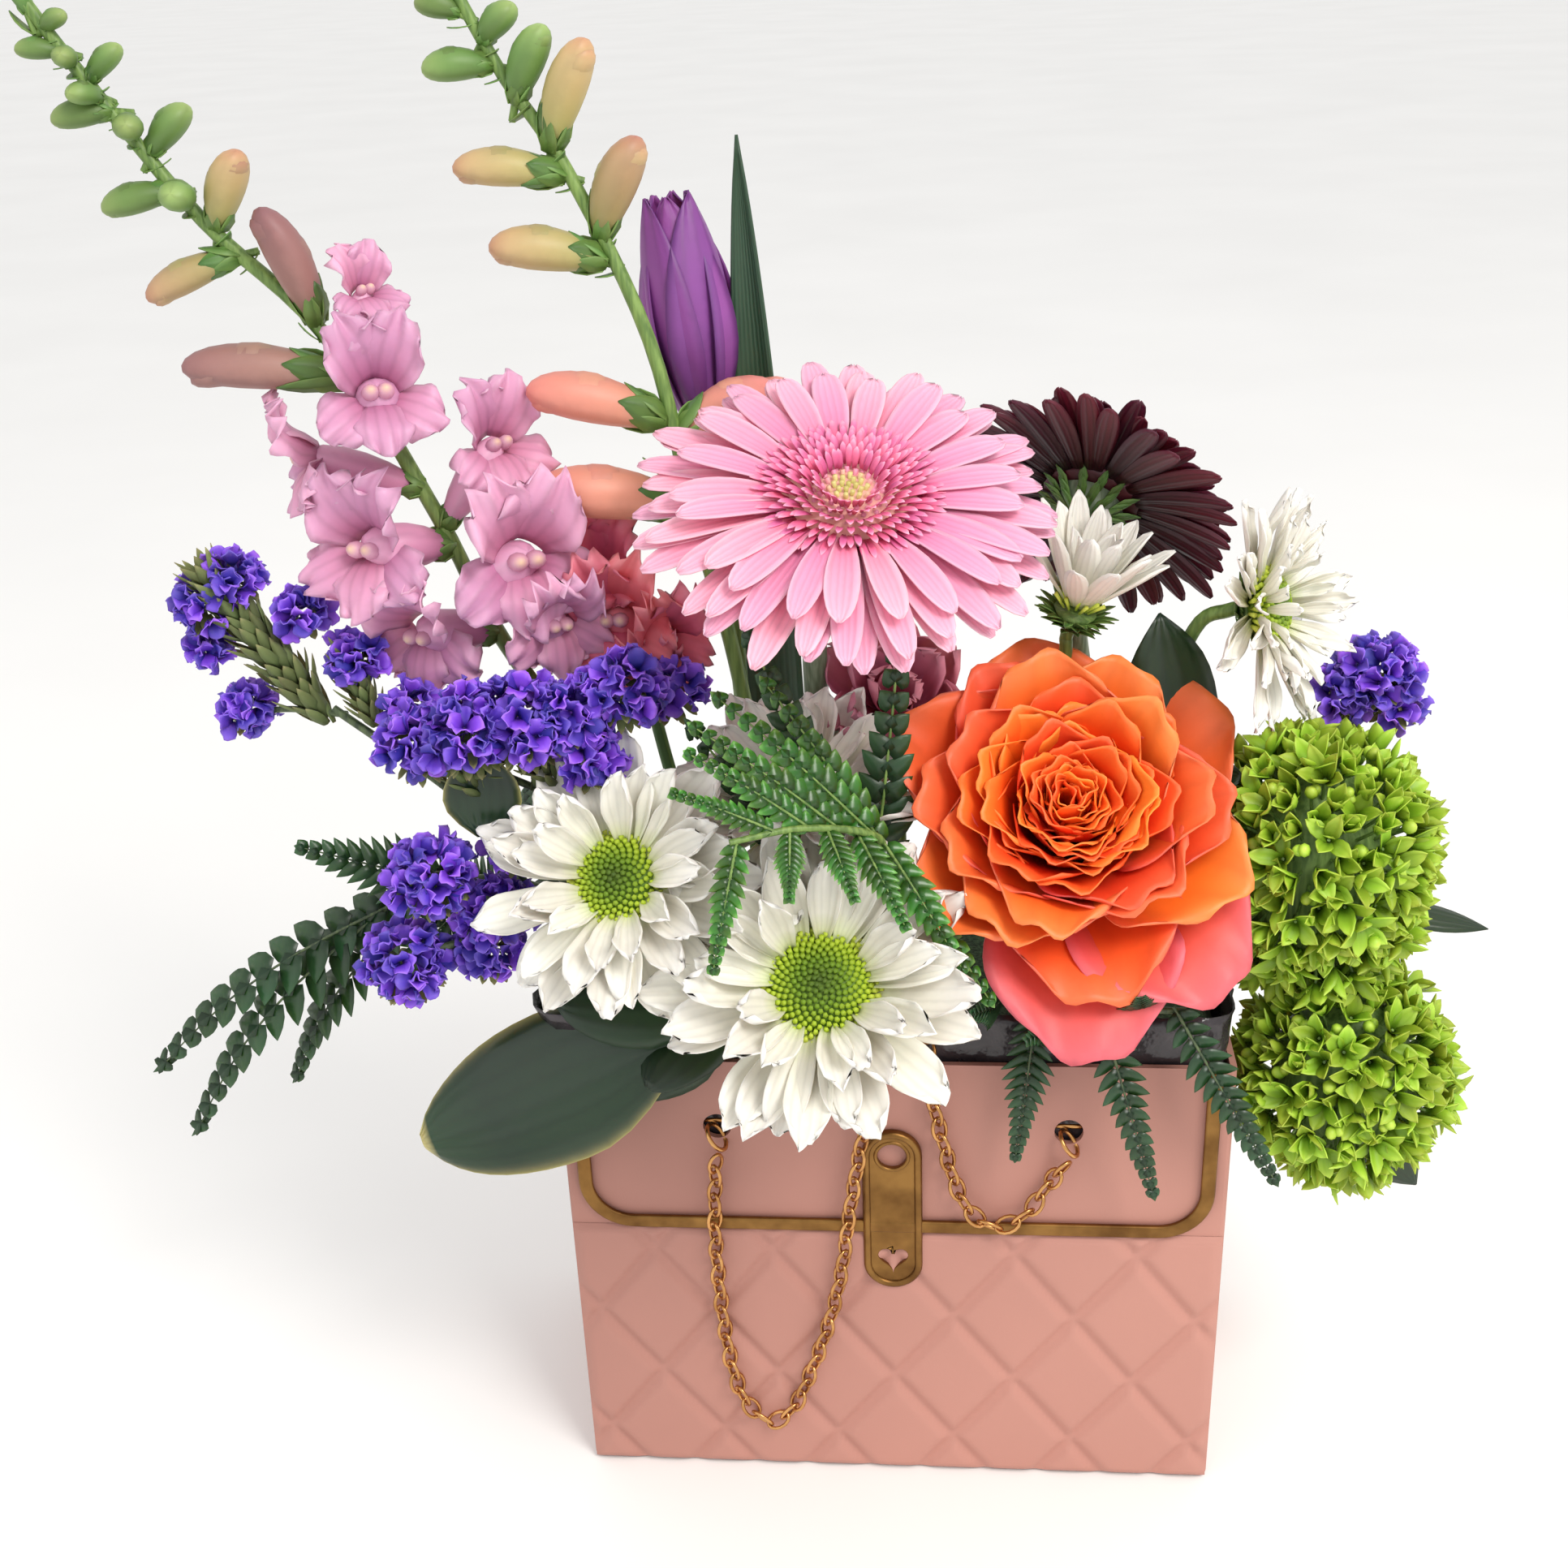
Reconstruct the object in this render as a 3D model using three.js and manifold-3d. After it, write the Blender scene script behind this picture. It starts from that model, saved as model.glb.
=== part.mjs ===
// Flower box arrangement: cut flowers and foliage in a box shaped like a quilted handbag.
// Millimetres, +Z up. The origin is the centre of the box's base. The decorated front faces -Y.

import * as THREE from 'three';
import { mergeVertices } from 'three/addons/utils/BufferGeometryUtils.js';
import Module from 'manifold-3d';

const wasm = await Module();
wasm.setup();

// ---- driving dimensions ------------------------------------------------------------------------

const BOX = { width: 210, depth: 100, height: 164, board: 2 };
const FRONT = -BOX.depth / 2;
const GAP = 0.4;                  // between faces that would touch
const CLEARANCE = 0.36;           // how far a corner moves out in the shape that cuts a neighbour

const CHAIN_HOLE = { x: 55, z: 140, radius: 4.5 };
const CHAIN_DIAMETER = 5.4;
const LINK = { halfLength: 6, halfHeight: 3.1, wire: 0.7 };
const STOP_BAR = { length: 14, radius: 0.9 };

const BAR = { halfWidth: 98.5, bottom: 103.5, corner: 15, band: 4.3, thickness: 1.2 };
const CLASP = { z: 110, width: 19, height: 61, thickness: 2.4, holeRadius: 4.3, holeZ: 131, heartZ: 91 };

const LINER = { film: 1, top: 181, flare: 3, wave: 2 };
const FOAM = { top: 172, chamfer: 9 };

const LEAF_THICKNESS = 1;

// ---- vectors and placing -----------------------------------------------------------------------

const vec = (x, y, z) => new THREE.Vector3(x, y, z);
const points = (list) => list.map(([x, y, z]) => vec(x, y, z));
const UP = vec(0, 0, 1);

// puts a geometry's own origin at a point, with its +Z along a direction
function aim(geometry, at, direction) {
  const turn = new THREE.Quaternion().setFromUnitVectors(UP, vec(...direction).normalize());
  geometry.applyQuaternion(turn);
  return geometry.translate(...at);
}

// lays a geometry down with its +X along one direction and its +Z as near as can be to another
function lay(geometry, at, along, facing) {
  const x = vec(...along).normalize();
  const y = vec(...facing).cross(x).normalize();
  const z = x.clone().cross(y);
  geometry.applyMatrix4(new THREE.Matrix4().makeBasis(x, y, z));
  return geometry.translate(...at);
}

// the point a given distance from another along a direction
function along(at, direction, distance) {
  return vec(...at).addScaledVector(vec(...direction).normalize(), distance).toArray();
}

// ---- solids ------------------------------------------------------------------------------------

// a closed geometry with shared corners and no needle triangles, its corners moved out by a distance
function welded(geometry, outward = 0) {
  const bare = new THREE.BufferGeometry();
  bare.setAttribute('position', geometry.getAttribute('position').clone());
  bare.setIndex(geometry.getIndex());
  const joined = mergeVertices(bare, 1e-4);
  const index = joined.getIndex().array;
  const kept = [];
  for (let i = 0; i < index.length; i += 3) {
    const [a, b, c] = [index[i], index[i + 1], index[i + 2]];
    if (a !== b && b !== c && c !== a) kept.push(a, b, c);
  }
  joined.setIndex(kept);
  if (outward !== 0) moveOut(joined, outward);
  return joined;
}

function moveOut(geometry, distance) {
  geometry.computeVertexNormals();
  const position = geometry.getAttribute('position');
  const normal = geometry.getAttribute('normal');
  for (let i = 0; i < position.count; i += 1) {
    position.setXYZ(
      i,
      position.getX(i) + normal.getX(i) * distance,
      position.getY(i) + normal.getY(i) * distance,
      position.getZ(i) + normal.getZ(i) * distance,
    );
  }
}

function toSolid(geometry, outward) {
  const closed = welded(geometry, outward);
  return new wasm.Manifold(new wasm.Mesh({
    numProp: 3,
    vertProperties: new Float32Array(closed.getAttribute('position').array),
    triVerts: new Uint32Array(closed.getIndex().array),
  }));
}

// what a piece is made of, joined, less what is cut from it
function shape(adds, cuts, outward) {
  let solid = toSolid(adds[0], outward);
  for (const geometry of adds.slice(1)) solid = solid.add(toSolid(geometry, outward));
  for (const geometry of cuts) solid = solid.subtract(toSolid(geometry, -outward));
  return solid;
}

function toGeometry(solid) {
  const mesh = solid.getMesh();
  const geometry = new THREE.BufferGeometry();
  geometry.setAttribute('position', new THREE.BufferAttribute(mesh.vertProperties, 3));
  geometry.setIndex(new THREE.BufferAttribute(mesh.triVerts, 1));
  geometry.computeVertexNormals();
  return geometry;
}

// ---- the arrangement and its pieces ------------------------------------------------------------

const arrangement = new THREE.Group();
const taken = [];                 // each piece's space, a little larger, that later pieces keep out of

function addPiece(group, name, material, adds, cuts = []) {
  let solid = shape(adds, cuts, 0);
  for (const space of taken) solid = solid.subtract(space);
  taken.push(shape(adds, cuts, CLEARANCE));
  const mesh = new THREE.Mesh(toGeometry(solid), material.clone());
  mesh.name = name;
  group.add(mesh);
}

function finish(color, roughness, metalness = 0) {
  return new THREE.MeshStandardMaterial({ color, roughness, metalness });
}

const FINISH = {
  board: finish(0xc98f86, 0.8),
  gold: finish(0x9a7444, 0.35, 1),
  film: finish(0x241d20, 0.3),
  foam: finish(0x47603f, 0.95),
  stem: finish(0x6d8f45, 0.6),
  leaf: finish(0x24402a, 0.5),
  fern: finish(0x2f5a2c, 0.6),
  pinkPetal: finish(0xf2a3b8, 0.6),
  maroonPetal: finish(0x4a0f22, 0.6),
  orangePetal: finish(0xf4702f, 0.6),
  whitePetal: finish(0xf0ede4, 0.6),
  disc: finish(0xa9bf3a, 0.7),
  limeFloret: finish(0x9cc043, 0.6),
  purplePetal: finish(0x7f459c, 0.5),
  mauvePetal: finish(0xd595b4, 0.6),
  statice: finish(0x5234a8, 0.7),
};

// ---- shapes used again and again ---------------------------------------------------------------

function box(width, depth, height, at) {
  return new THREE.BoxGeometry(width, depth, height).translate(...at);
}

function polygon(radius, sides) {
  const section = new THREE.Shape();
  for (let i = 0; i < sides; i += 1) {
    const angle = (i / sides) * 2 * Math.PI;
    const corner = [radius * Math.cos(angle), radius * Math.sin(angle)];
    if (i === 0) section.moveTo(...corner);
    else section.lineTo(...corner);
  }
  return section;
}

// a round tube along a smooth curve through the given points
function tube(route, radius, steps, sides = 6) {
  return new THREE.ExtrudeGeometry(polygon(radius, sides), {
    extrudePath: new THREE.CatmullRomCurve3(points(route)),
    steps,
  });
}

function lathe(profile, segments) {
  const corners = profile.map(([radius, height]) => new THREE.Vector2(radius, height));
  return new THREE.LatheGeometry(corners, segments).rotateX(Math.PI / 2);
}

function ball(radii, at, direction = [0, 0, 1], around = 8, rings = 5) {
  const round = new THREE.SphereGeometry(1, around, rings).rotateX(Math.PI / 2).scale(...radii);
  return aim(round, at, direction);
}

// a bud or closed floret: a long ball from its foot along a direction
function bud(foot, direction, length, radius) {
  return ball([radius, radius, length / 2], along(foot, direction, length / 2), direction, 6, 3);
}

// waves a round shape's rim: each trough is drawn in by a share of its radius and dropped
function ruffle(geometry, { waves, notch, drop = 0, beyond }) {
  const position = geometry.getAttribute('position');
  for (let i = 0; i < position.count; i += 1) {
    const [x, y, z] = [position.getX(i), position.getY(i), position.getZ(i)];
    const trough = (1 - Math.cos(waves * Math.atan2(y, x))) / 2;
    const inward = 1 - notch * trough;
    if (Math.hypot(x, y) > beyond) position.setXYZ(i, x * inward, y * inward, z - drop * trough);
  }
  return geometry;
}

// a ring of ray petals: a thin dish with its rim notched between the petals
function rays({ petals, inner, outer, thickness, rise, tip, notch }) {
  const middle = (inner + outer) / 2;
  const ring = lathe([
    [inner, 0],
    [inner, -thickness],
    [middle, rise - thickness],
    [outer, tip],
    [middle, rise],
    [inner, 0],
  ], petals * 2);
  return ruffle(ring, { waves: petals, notch, beyond: middle * 1.01 });
}

function disc(radius, height, depth) {
  return lathe([[0, -depth], [radius, -depth], [radius, 0], [radius * 0.7, height], [0, height]], 10);
}

// the green cup under a bloom, narrow end down, its rim at the origin
function calyx(radius, height) {
  return new THREE.CylinderGeometry(radius, radius * 0.4, height, 8)
    .rotateX(Math.PI / 2)
    .translate(0, 0, -height / 2);
}

// a leaf lying along +X from the origin, its tip lowered by the given droop
function leafBlade(length, width, droop) {
  const outline = new THREE.Shape();
  outline.moveTo(0, -width * 0.08);
  outline.quadraticCurveTo(length * 0.35, -width, length, 0);
  outline.quadraticCurveTo(length * 0.35, width, 0, width * 0.08);
  const blade = new THREE.ExtrudeGeometry(outline, {
    depth: LEAF_THICKNESS,
    bevelEnabled: false,
    curveSegments: 3,
  });
  return lowered(blade, length, droop);
}

// a frond lying along +X: leaflets in pairs, longest a third of the way along
function frondBlade(length, width, pairs, droop) {
  const outline = new THREE.Shape();
  const stalk = 1.2;
  const step = length / (pairs + 1);
  const reach = (i) => width * 0.5 * (1 - Math.abs(i / pairs - 0.3));
  outline.moveTo(0, -stalk);
  for (let i = 0; i < pairs; i += 1) {
    outline.lineTo(step * (i + 0.35), -stalk);
    outline.lineTo(step * (i + 1.3), -reach(i) - stalk);
    outline.lineTo(step * (i + 1), -stalk);
  }
  outline.lineTo(length, 0);
  for (let i = pairs - 1; i >= 0; i -= 1) {
    outline.lineTo(step * (i + 1), stalk);
    outline.lineTo(step * (i + 1.3), reach(i) + stalk);
    outline.lineTo(step * (i + 0.35), stalk);
  }
  outline.lineTo(0, stalk);
  const blade = new THREE.ExtrudeGeometry(outline, { depth: LEAF_THICKNESS, bevelEnabled: false });
  return lowered(blade, length, droop);
}

function lowered(blade, length, droop) {
  const position = blade.getAttribute('position');
  for (let i = 0; i < position.count; i += 1) {
    const part = position.getX(i) / length;
    position.setZ(i, position.getZ(i) - droop * part * part);
  }
  return blade;
}

function lump(x, y, z, radius) {
  return ball([radius, radius, radius], [x, y, z], [0.3, -1, 0.4], 6, 4);
}

// ---- holder ------------------------------------------------------------------------------------

const holder = new THREE.Group();
const stems = new THREE.Group();
const blooms = new THREE.Group();
const foliage = new THREE.Group();
arrangement.add(holder, stems, blooms, foliage);

function flowerBox() {
  const { width, depth, height, board } = BOX;
  const inside = box(width - 2 * board, depth - 2 * board, height, [0, 0, height / 2 + board]);
  const holes = [-1, 1].map((side) => new THREE.CylinderGeometry(
    CHAIN_HOLE.radius,
    CHAIN_HOLE.radius,
    4 * board,
    16,
  ).translate(side * CHAIN_HOLE.x, FRONT + board / 2, CHAIN_HOLE.z));
  const outside = box(width, depth, height, [0, 0, height / 2]);
  addPiece(holder, 'flower_box', FINISH.board, [outside], [inside, ...holes]);
}

// a flat outline drawn in x and height, as a plate on the front of the box
function plateOnFront(outline, thickness, curveSegments) {
  return new THREE.ExtrudeGeometry(outline, { depth: thickness, bevelEnabled: false, curveSegments })
    .rotateX(Math.PI / 2)
    .translate(0, FRONT - GAP, 0);
}

function goldFrameBar() {
  const { halfWidth, bottom, corner, band, thickness } = BAR;
  const top = BOX.height - GAP;
  const centre = { x: halfWidth - corner, z: bottom + corner };
  const [wide, narrow] = [corner + band / 2, corner - band / 2];
  const outline = new THREE.Shape();
  outline.moveTo(-halfWidth - band / 2, top);
  outline.absarc(-centre.x, centre.z, wide, Math.PI, 1.5 * Math.PI);
  outline.absarc(centre.x, centre.z, wide, 1.5 * Math.PI, 2 * Math.PI);
  outline.lineTo(halfWidth + band / 2, top);
  outline.lineTo(halfWidth - band / 2, top);
  outline.absarc(centre.x, centre.z, narrow, 2 * Math.PI, 1.5 * Math.PI, true);
  outline.absarc(-centre.x, centre.z, narrow, 1.5 * Math.PI, Math.PI, true);
  outline.lineTo(-halfWidth + band / 2, top);
  addPiece(holder, 'gold_frame_bar', FINISH.gold, [plateOnFront(outline, thickness, 5)]);
}

function heart(size, z) {
  const hole = new THREE.Path();
  hole.moveTo(0, z - size * 0.55);
  hole.bezierCurveTo(-size * 0.3, z - size * 0.3, -size * 0.6, z, -size * 0.45, z + size * 0.3);
  hole.bezierCurveTo(-size * 0.35, z + size * 0.5, -size * 0.1, z + size * 0.5, 0, z + size * 0.25);
  hole.bezierCurveTo(size * 0.1, z + size * 0.5, size * 0.35, z + size * 0.5, size * 0.45, z + size * 0.3);
  hole.bezierCurveTo(size * 0.6, z, size * 0.3, z - size * 0.3, 0, z - size * 0.55);
  return hole;
}

function claspPlate() {
  const { z, width, height, thickness, holeRadius, holeZ, heartZ } = CLASP;
  const end = width / 2;
  const reach = height / 2 - end;
  const outline = new THREE.Shape();
  outline.absarc(0, z + reach, end, 0, Math.PI);
  outline.absarc(0, z - reach, end, Math.PI, 2 * Math.PI);
  outline.holes.push(new THREE.Path().absarc(0, holeZ, holeRadius, 0, 2 * Math.PI));
  outline.holes.push(heart(2 * holeRadius, heartZ));
  addPiece(holder, 'clasp_plate', FINISH.gold, [plateOnFront(outline, thickness, 6)]);
}

// an oval link through each hole, and the short bar behind the board that keeps it there
function chainEnds(side, x) {
  const link = new THREE.TorusGeometry(LINK.halfHeight, LINK.wire, 5, 12)
    .scale(LINK.halfLength / LINK.halfHeight, 1, 1)
    .rotateX(Math.PI / 2)
    .rotateZ(Math.PI / 2)
    .translate(x, FRONT, CHAIN_HOLE.z);
  const behind = FRONT + BOX.board + GAP + STOP_BAR.radius;
  const bar = new THREE.CylinderGeometry(STOP_BAR.radius, STOP_BAR.radius, STOP_BAR.length, 8)
    .rotateZ(Math.PI / 2)
    .translate(x, behind, CHAIN_HOLE.z);
  addPiece(holder, `chain_link_${side}`, FINISH.gold, [link]);
  addPiece(holder, `chain_stop_bar_${side}`, FINISH.gold, [bar]);
}

// the chain strap: down from the left link, up and over the rim, down again to the right link
const CHAIN_ROUTE = [
  [-55, -57, 133], [-56, -55, 122], [-57, -55, 104], [-57, -54, 82], [-56, -54, 62],
  [-54, -54, 44], [-50, -54, 30], [-42, -54, 22], [-34, -54, 29], [-28, -54, 44],
  [-23, -55, 60], [-19, -56, 76], [-16, -56, 92], [-14, -56, 108], [-11, -56, 128],
  [-8, -56, 146], [-6, -55, 160], [-4, -51, 169], [-1, -45, 172], [4, -42, 173],
  [9, -45, 172], [12, -51, 169], [13, -55, 160], [14, -54, 148], [17, -54, 134],
  [20, -54, 122], [25, -55, 112], [33, -55, 107], [42, -55, 112], [49, -54, 123],
  [54, -57, 133],
];
const CHAIN_STEPS = 40;

function chainStrap() {
  const chain = tube(CHAIN_ROUTE, CHAIN_DIAMETER / 2, CHAIN_STEPS, 8);
  addPiece(holder, 'chain_strap', FINISH.gold, [chain]);
}

// the film's outline, with corners along each side, drawn up from one height to another
function filmWall(halfWidth, halfDepth, bottom, top) {
  const outline = new THREE.Shape();
  const [across, back] = [8, 4];
  outline.moveTo(-halfWidth, -halfDepth);
  for (let i = 1; i <= across; i += 1) {
    outline.lineTo(-halfWidth + (2 * halfWidth * i) / across, -halfDepth);
  }
  for (let i = 1; i <= back; i += 1) {
    outline.lineTo(halfWidth, -halfDepth + (2 * halfDepth * i) / back);
  }
  for (let i = 1; i <= across; i += 1) {
    outline.lineTo(halfWidth - (2 * halfWidth * i) / across, halfDepth);
  }
  for (let i = 1; i < back; i += 1) {
    outline.lineTo(-halfWidth, halfDepth - (2 * halfDepth * i) / back);
  }
  const wall = new THREE.ExtrudeGeometry(outline, { depth: 2, steps: 2, bevelEnabled: false });
  const position = wall.getAttribute('position');
  for (let i = 0; i < position.count; i += 1) {
    const level = Math.round(position.getZ(i));
    const [x, y] = [position.getX(i), position.getY(i)];
    const turn = Math.atan2(y / halfDepth, x / halfWidth);
    const out = level === 2 ? LINER.flare + LINER.wave * Math.sin(11 * turn) : 0;
    const edge = Math.max(Math.abs(x) / halfWidth, Math.abs(y) / halfDepth);
    const grow = 1 + (out * edge) / Math.hypot(x, y);
    const height = [bottom, BOX.height, top + LINER.wave * Math.cos(7 * turn)][level];
    position.setXYZ(i, x * grow, y * grow, height);
  }
  return wall;
}

function plasticLiner() {
  const halfWidth = BOX.width / 2 - BOX.board - GAP;
  const halfDepth = BOX.depth / 2 - BOX.board - GAP;
  const bottom = BOX.board + GAP;
  const outside = filmWall(halfWidth, halfDepth, bottom, LINER.top);
  const [w, d] = [halfWidth - LINER.film, halfDepth - LINER.film];
  const inside = filmWall(w, d, bottom + LINER.film, LINER.top + 20);
  addPiece(holder, 'plastic_liner', FINISH.film, [outside], [inside]);
}

function floralFoam() {
  const inset = BOX.board + LINER.film + 2 * GAP;
  const bottom = inset;
  const [width, depth] = [BOX.width - 2 * inset, BOX.depth - 2 * inset];
  const block = new THREE.BoxGeometry(width, depth, 2, 1, 1, 2);
  const position = block.getAttribute('position');
  const levels = [bottom, FOAM.top - FOAM.chamfer, FOAM.top];
  for (let i = 0; i < position.count; i += 1) {
    const level = Math.round(position.getZ(i)) + 1;
    const cut = level === 2 ? FOAM.chamfer : 0;
    const [x, y] = [position.getX(i), position.getY(i)];
    position.setXYZ(i, x - Math.sign(x) * cut, y - Math.sign(y) * cut, levels[level]);
  }
  addPiece(holder, 'floral_foam', FINISH.foam, [block]);
}

// ---- flowers -----------------------------------------------------------------------------------

// every daisy-shaped bloom: where its face is, which way it looks, and the route of its stem
const DAISIES = {
  gerbera_pink: {
    at: [-10, -35, 339], facing: [0.1, -0.45, 0.88], petal: FINISH.pinkPetal,
    route: [[-22, 4, 136], [-22, 4, 180], [-23, 2, 250], [-22, -6, 298], [-16, -24, 322]],
    stem: 3.8, cup: 13, cupHeight: 9, disc: 26, dome: 6,
    petals: 16, outer: 59, thickness: 3.2, rise: 3, tip: -8, notch: 0.16,
  },
  gerbera_maroon: {
    at: [61, 30, 319], facing: [0.35, 0.77, 0.54], petal: FINISH.maroonPetal,
    route: [[66, 26, 136], [65, 26, 180], [60, 22, 260], [54, 16, 298]],
    stem: 3.2, cup: 12, cupHeight: 9, disc: 15, dome: 5,
    petals: 14, outer: 47, thickness: 2.4, rise: 2, tip: -5, notch: 0.16,
  },
  mum_front: {
    at: [-19, -75, 207], facing: [0.05, -0.72, 0.69], petal: FINISH.whitePetal,
    route: [[-18, -12, 136], [-18, -20, 160], [-18, -40, 184]],
    stem: 2.3, cup: 9, cupHeight: 7, disc: 17, dome: 5,
    petals: 12, outer: 48, thickness: 2.6, rise: 5, tip: 2, notch: 0.14,
  },
  mum_left: {
    at: [-78, -58, 232], facing: [-0.15, -0.78, 0.6], petal: FINISH.whitePetal,
    route: [[-62, -16, 136], [-64, -22, 170], [-72, -36, 208]],
    stem: 2.3, cup: 9, cupHeight: 7, disc: 14, dome: 5,
    petals: 12, outer: 41, thickness: 2.6, rise: 5, tip: 3, notch: 0.14,
  },
  mum_middle: {
    at: [-27, -30, 242], facing: [-0.1, -0.5, 0.86], petal: FINISH.whitePetal,
    route: [[-36, -8, 136], [-35, -9, 170], [-29, -18, 215]],
    stem: 2.3, cup: 9, cupHeight: 7, disc: 14, dome: 5,
    petals: 12, outer: 41, thickness: 2.6, rise: 5, tip: 3, notch: 0.14,
  },
  mum_small: {
    at: [56, -1, 296], facing: [0.25, -0.15, 0.95], petal: FINISH.whitePetal,
    route: [[52, 6, 136], [52, 7, 180], [52, 6, 250], [53, 1, 280]],
    stem: 2, cup: 6, cupHeight: 6, disc: 4, dome: 5,
    petals: 8, outer: 21, thickness: 1.8, rise: 12, tip: 25, notch: 0.15,
  },
  mum_right: {
    at: [111, -2, 295], facing: [0.82, -0.5, 0.28], petal: FINISH.whitePetal,
    route: [[72, 14, 136], [74, 14, 180], [82, 10, 250], [92, 8, 284]],
    stem: 2.2, cup: 8, cupHeight: 7, disc: 10, dome: 4,
    petals: 12, outer: 36, thickness: 2.4, rise: 5, tip: 4, notch: 0.16,
  },
};

function daisyStem(name, { at, facing, route, stem, cup, cupHeight, thickness }) {
  const rim = along(at, facing, -thickness - 2 * GAP - CLEARANCE);
  const foot = along(rim, facing, -cupHeight * 0.8);
  const parts = [tube([...route, foot], stem, 6), aim(calyx(cup, cupHeight), rim, facing)];
  addPiece(stems, `${name}_stem`, FINISH.stem, parts);
}

function daisyBloom(name, bloom) {
  const { at, facing, disc: radius, dome, thickness, petal } = bloom;
  addPiece(blooms, `${name}_disc`, FINISH.disc, [aim(disc(radius, dome, thickness), at, facing)]);
  const ring = aim(rays({ ...bloom, inner: radius + CLEARANCE + GAP }), at, facing);
  addPiece(blooms, `${name}_petals`, petal, [ring]);
}

const ROSE = { at: [53, -38, 246], facing: [0.03, -0.7, 0.71] };

function roseStem() {
  const cup = along(ROSE.at, ROSE.facing, -27);
  const foot = along(cup, ROSE.facing, -6);
  addPiece(stems, 'rose_stem', FINISH.stem, [
    tube([[44, -6, 136], [45, -6, 170], [49, -8, 200], foot], 3, 5),
    aim(calyx(10, 8), cup, ROSE.facing),
    tube([[47, -7, 188], [70, -6, 222], [90, -10, 250]], 1.2, 4),
    lay(leafBlade(48, 26, 4), [89, -10, 248], [-0.12, 0.1, 1], [0.3, -1, 0.1]),
  ]);
}

function roseBloom() {
  const outer = ruffle(lathe([
    [0, -26], [18, -24], [36, -12], [46, 3], [51, 13], [45, 9], [37, 0], [28, -9], [0, -17],
  ], 15), { waves: 5, notch: 0.08, drop: 5, beyond: 44 });
  const inner = ruffle(lathe([
    [0, -18], [27, -10], [36, 2], [37, 12], [27, 19], [19, 14], [9, 18], [0, 14],
  ], 15), { waves: 5, notch: 0.08, drop: 3, beyond: 26 });
  addPiece(blooms, 'rose_outer_petals', FINISH.orangePetal, [aim(outer, ROSE.at, ROSE.facing)]);
  addPiece(blooms, 'rose_inner_petals', FINISH.orangePetal, [aim(inner, ROSE.at, ROSE.facing)]);
}

function hydrangeaStem() {
  addPiece(stems, 'hydrangea_stem', FINISH.stem, [
    tube([[84, -10, 136], [86, -10, 170], [106, -13, 192], [122, -18, 204]], 3, 5),
    tube([[102, -12, 188], [120, -18, 188], [134, -24, 178], [139, -27, 166]], 2.4, 4),
    tube([[118, -16, 200], [136, -17, 204], [156, -18, 202]], 1.4, 4),
    lay(leafBlade(34, 11, 2), [150, -18, 202], [1, -0.03, -0.08], [0, -0.4, 1]),
    tube([[137, -26, 170], [150, -22, 140], [156, -20, 118]], 1.4, 4),
    lay(leafBlade(30, 18, 3), [153, -21, 126], [0.6, -0.15, -0.75], [0.3, -1, 0.4]),
  ]);
}

function hydrangeaHeads() {
  const heads = [
    ['hydrangea_upper_head', [128, -20, 220], [32, 32, 39]],
    ['hydrangea_lower_head', [141, -28, 150], [31, 28, 35]],
  ];
  for (const [name, at, radii] of heads) {
    addPiece(blooms, name, FINISH.limeFloret, [ball(radii, at, [0, 0, 1], 10, 8)]);
  }
}

const TULIP = { at: [-58, 42, 337], facing: [-0.11, 0, 0.99] };

function tulip() {
  const stalk = tube([[-46, 26, 136], [-46, 28, 180], [-51, 36, 260], along(TULIP.at, [0, 0, 1], -1)], 3, 6);
  addPiece(stems, 'tulip_stem', FINISH.stem, [stalk]);
  const cup = lathe([[0, 0], [9, 3], [15, 18], [16, 32], [12, 52], [5, 66], [0, 73]], 10);
  addPiece(blooms, 'tulip_bloom', FINISH.purplePetal, [aim(cup, TULIP.at, TULIP.facing)]);
  const blade = lay(leafBlade(288, 20, 0), [-33, 24, 140], [-12, 28, 286], [-0.2, -1, 0.1]);
  addPiece(foliage, 'tulip_leaf', FINISH.leaf, [blade]);
}

// a snapdragon's buds: foot on the stem, direction, length and radius
const LEFT_BUDS = [
  [[-236, 5, 468], [-0.2, 0, 1], 16, 4], [[-228, 5, 458], [-1, -0.2, 0.3], 16, 4],
  [[-222, 5, 450], [0.6, 0, 1], 20, 5], [[-216, 5, 442], [-1, -0.2, 0.1], 22, 5],
  [[-208, 5, 430], [0.5, 0.1, 1], 22, 6], [[-202, 5, 420], [-1, -0.2, 0], 26, 6],
  [[-192, 5, 409], [0.4, -0.2, 1], 28, 7], [[-186, 5, 402], [-1, -0.3, -0.2], 34, 6],
  [[-166, 3, 382], [-0.2, 0.2, 1], 44, 8], [[-152, 2, 360], [-1, -0.1, 0.25], 58, 9],
];

const CENTRE_BUDS = [
  [[-117, 15, 464], [-1, 0, 0.5], 15, 5], [[-109, 15, 450], [-1, -0.3, 0.2], 24, 6],
  [[-106, 15, 444], [0.4, -0.2, 1], 26, 6], [[-95, 15, 427], [0.4, -0.2, 1], 34, 7],
  [[-91, 15, 420], [-1, -0.2, 0.3], 40, 7], [[-83, 15, 402], [0.3, -0.1, 1], 32, 8],
  [[-81, 14, 396], [-1, -0.3, 0.4], 36, 8], [[-66, 10, 350], [-1, -0.2, 0.5], 44, 9],
  [[-60, 8, 324], [-1, -0.3, 0.4], 50, 10], [[-63, 10, 346], [0.7, 0.6, 0.5], 34, 8],
  [[-58, 9, 336], [0.65, 0.7, 0.5], 50, 8],
];

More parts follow.
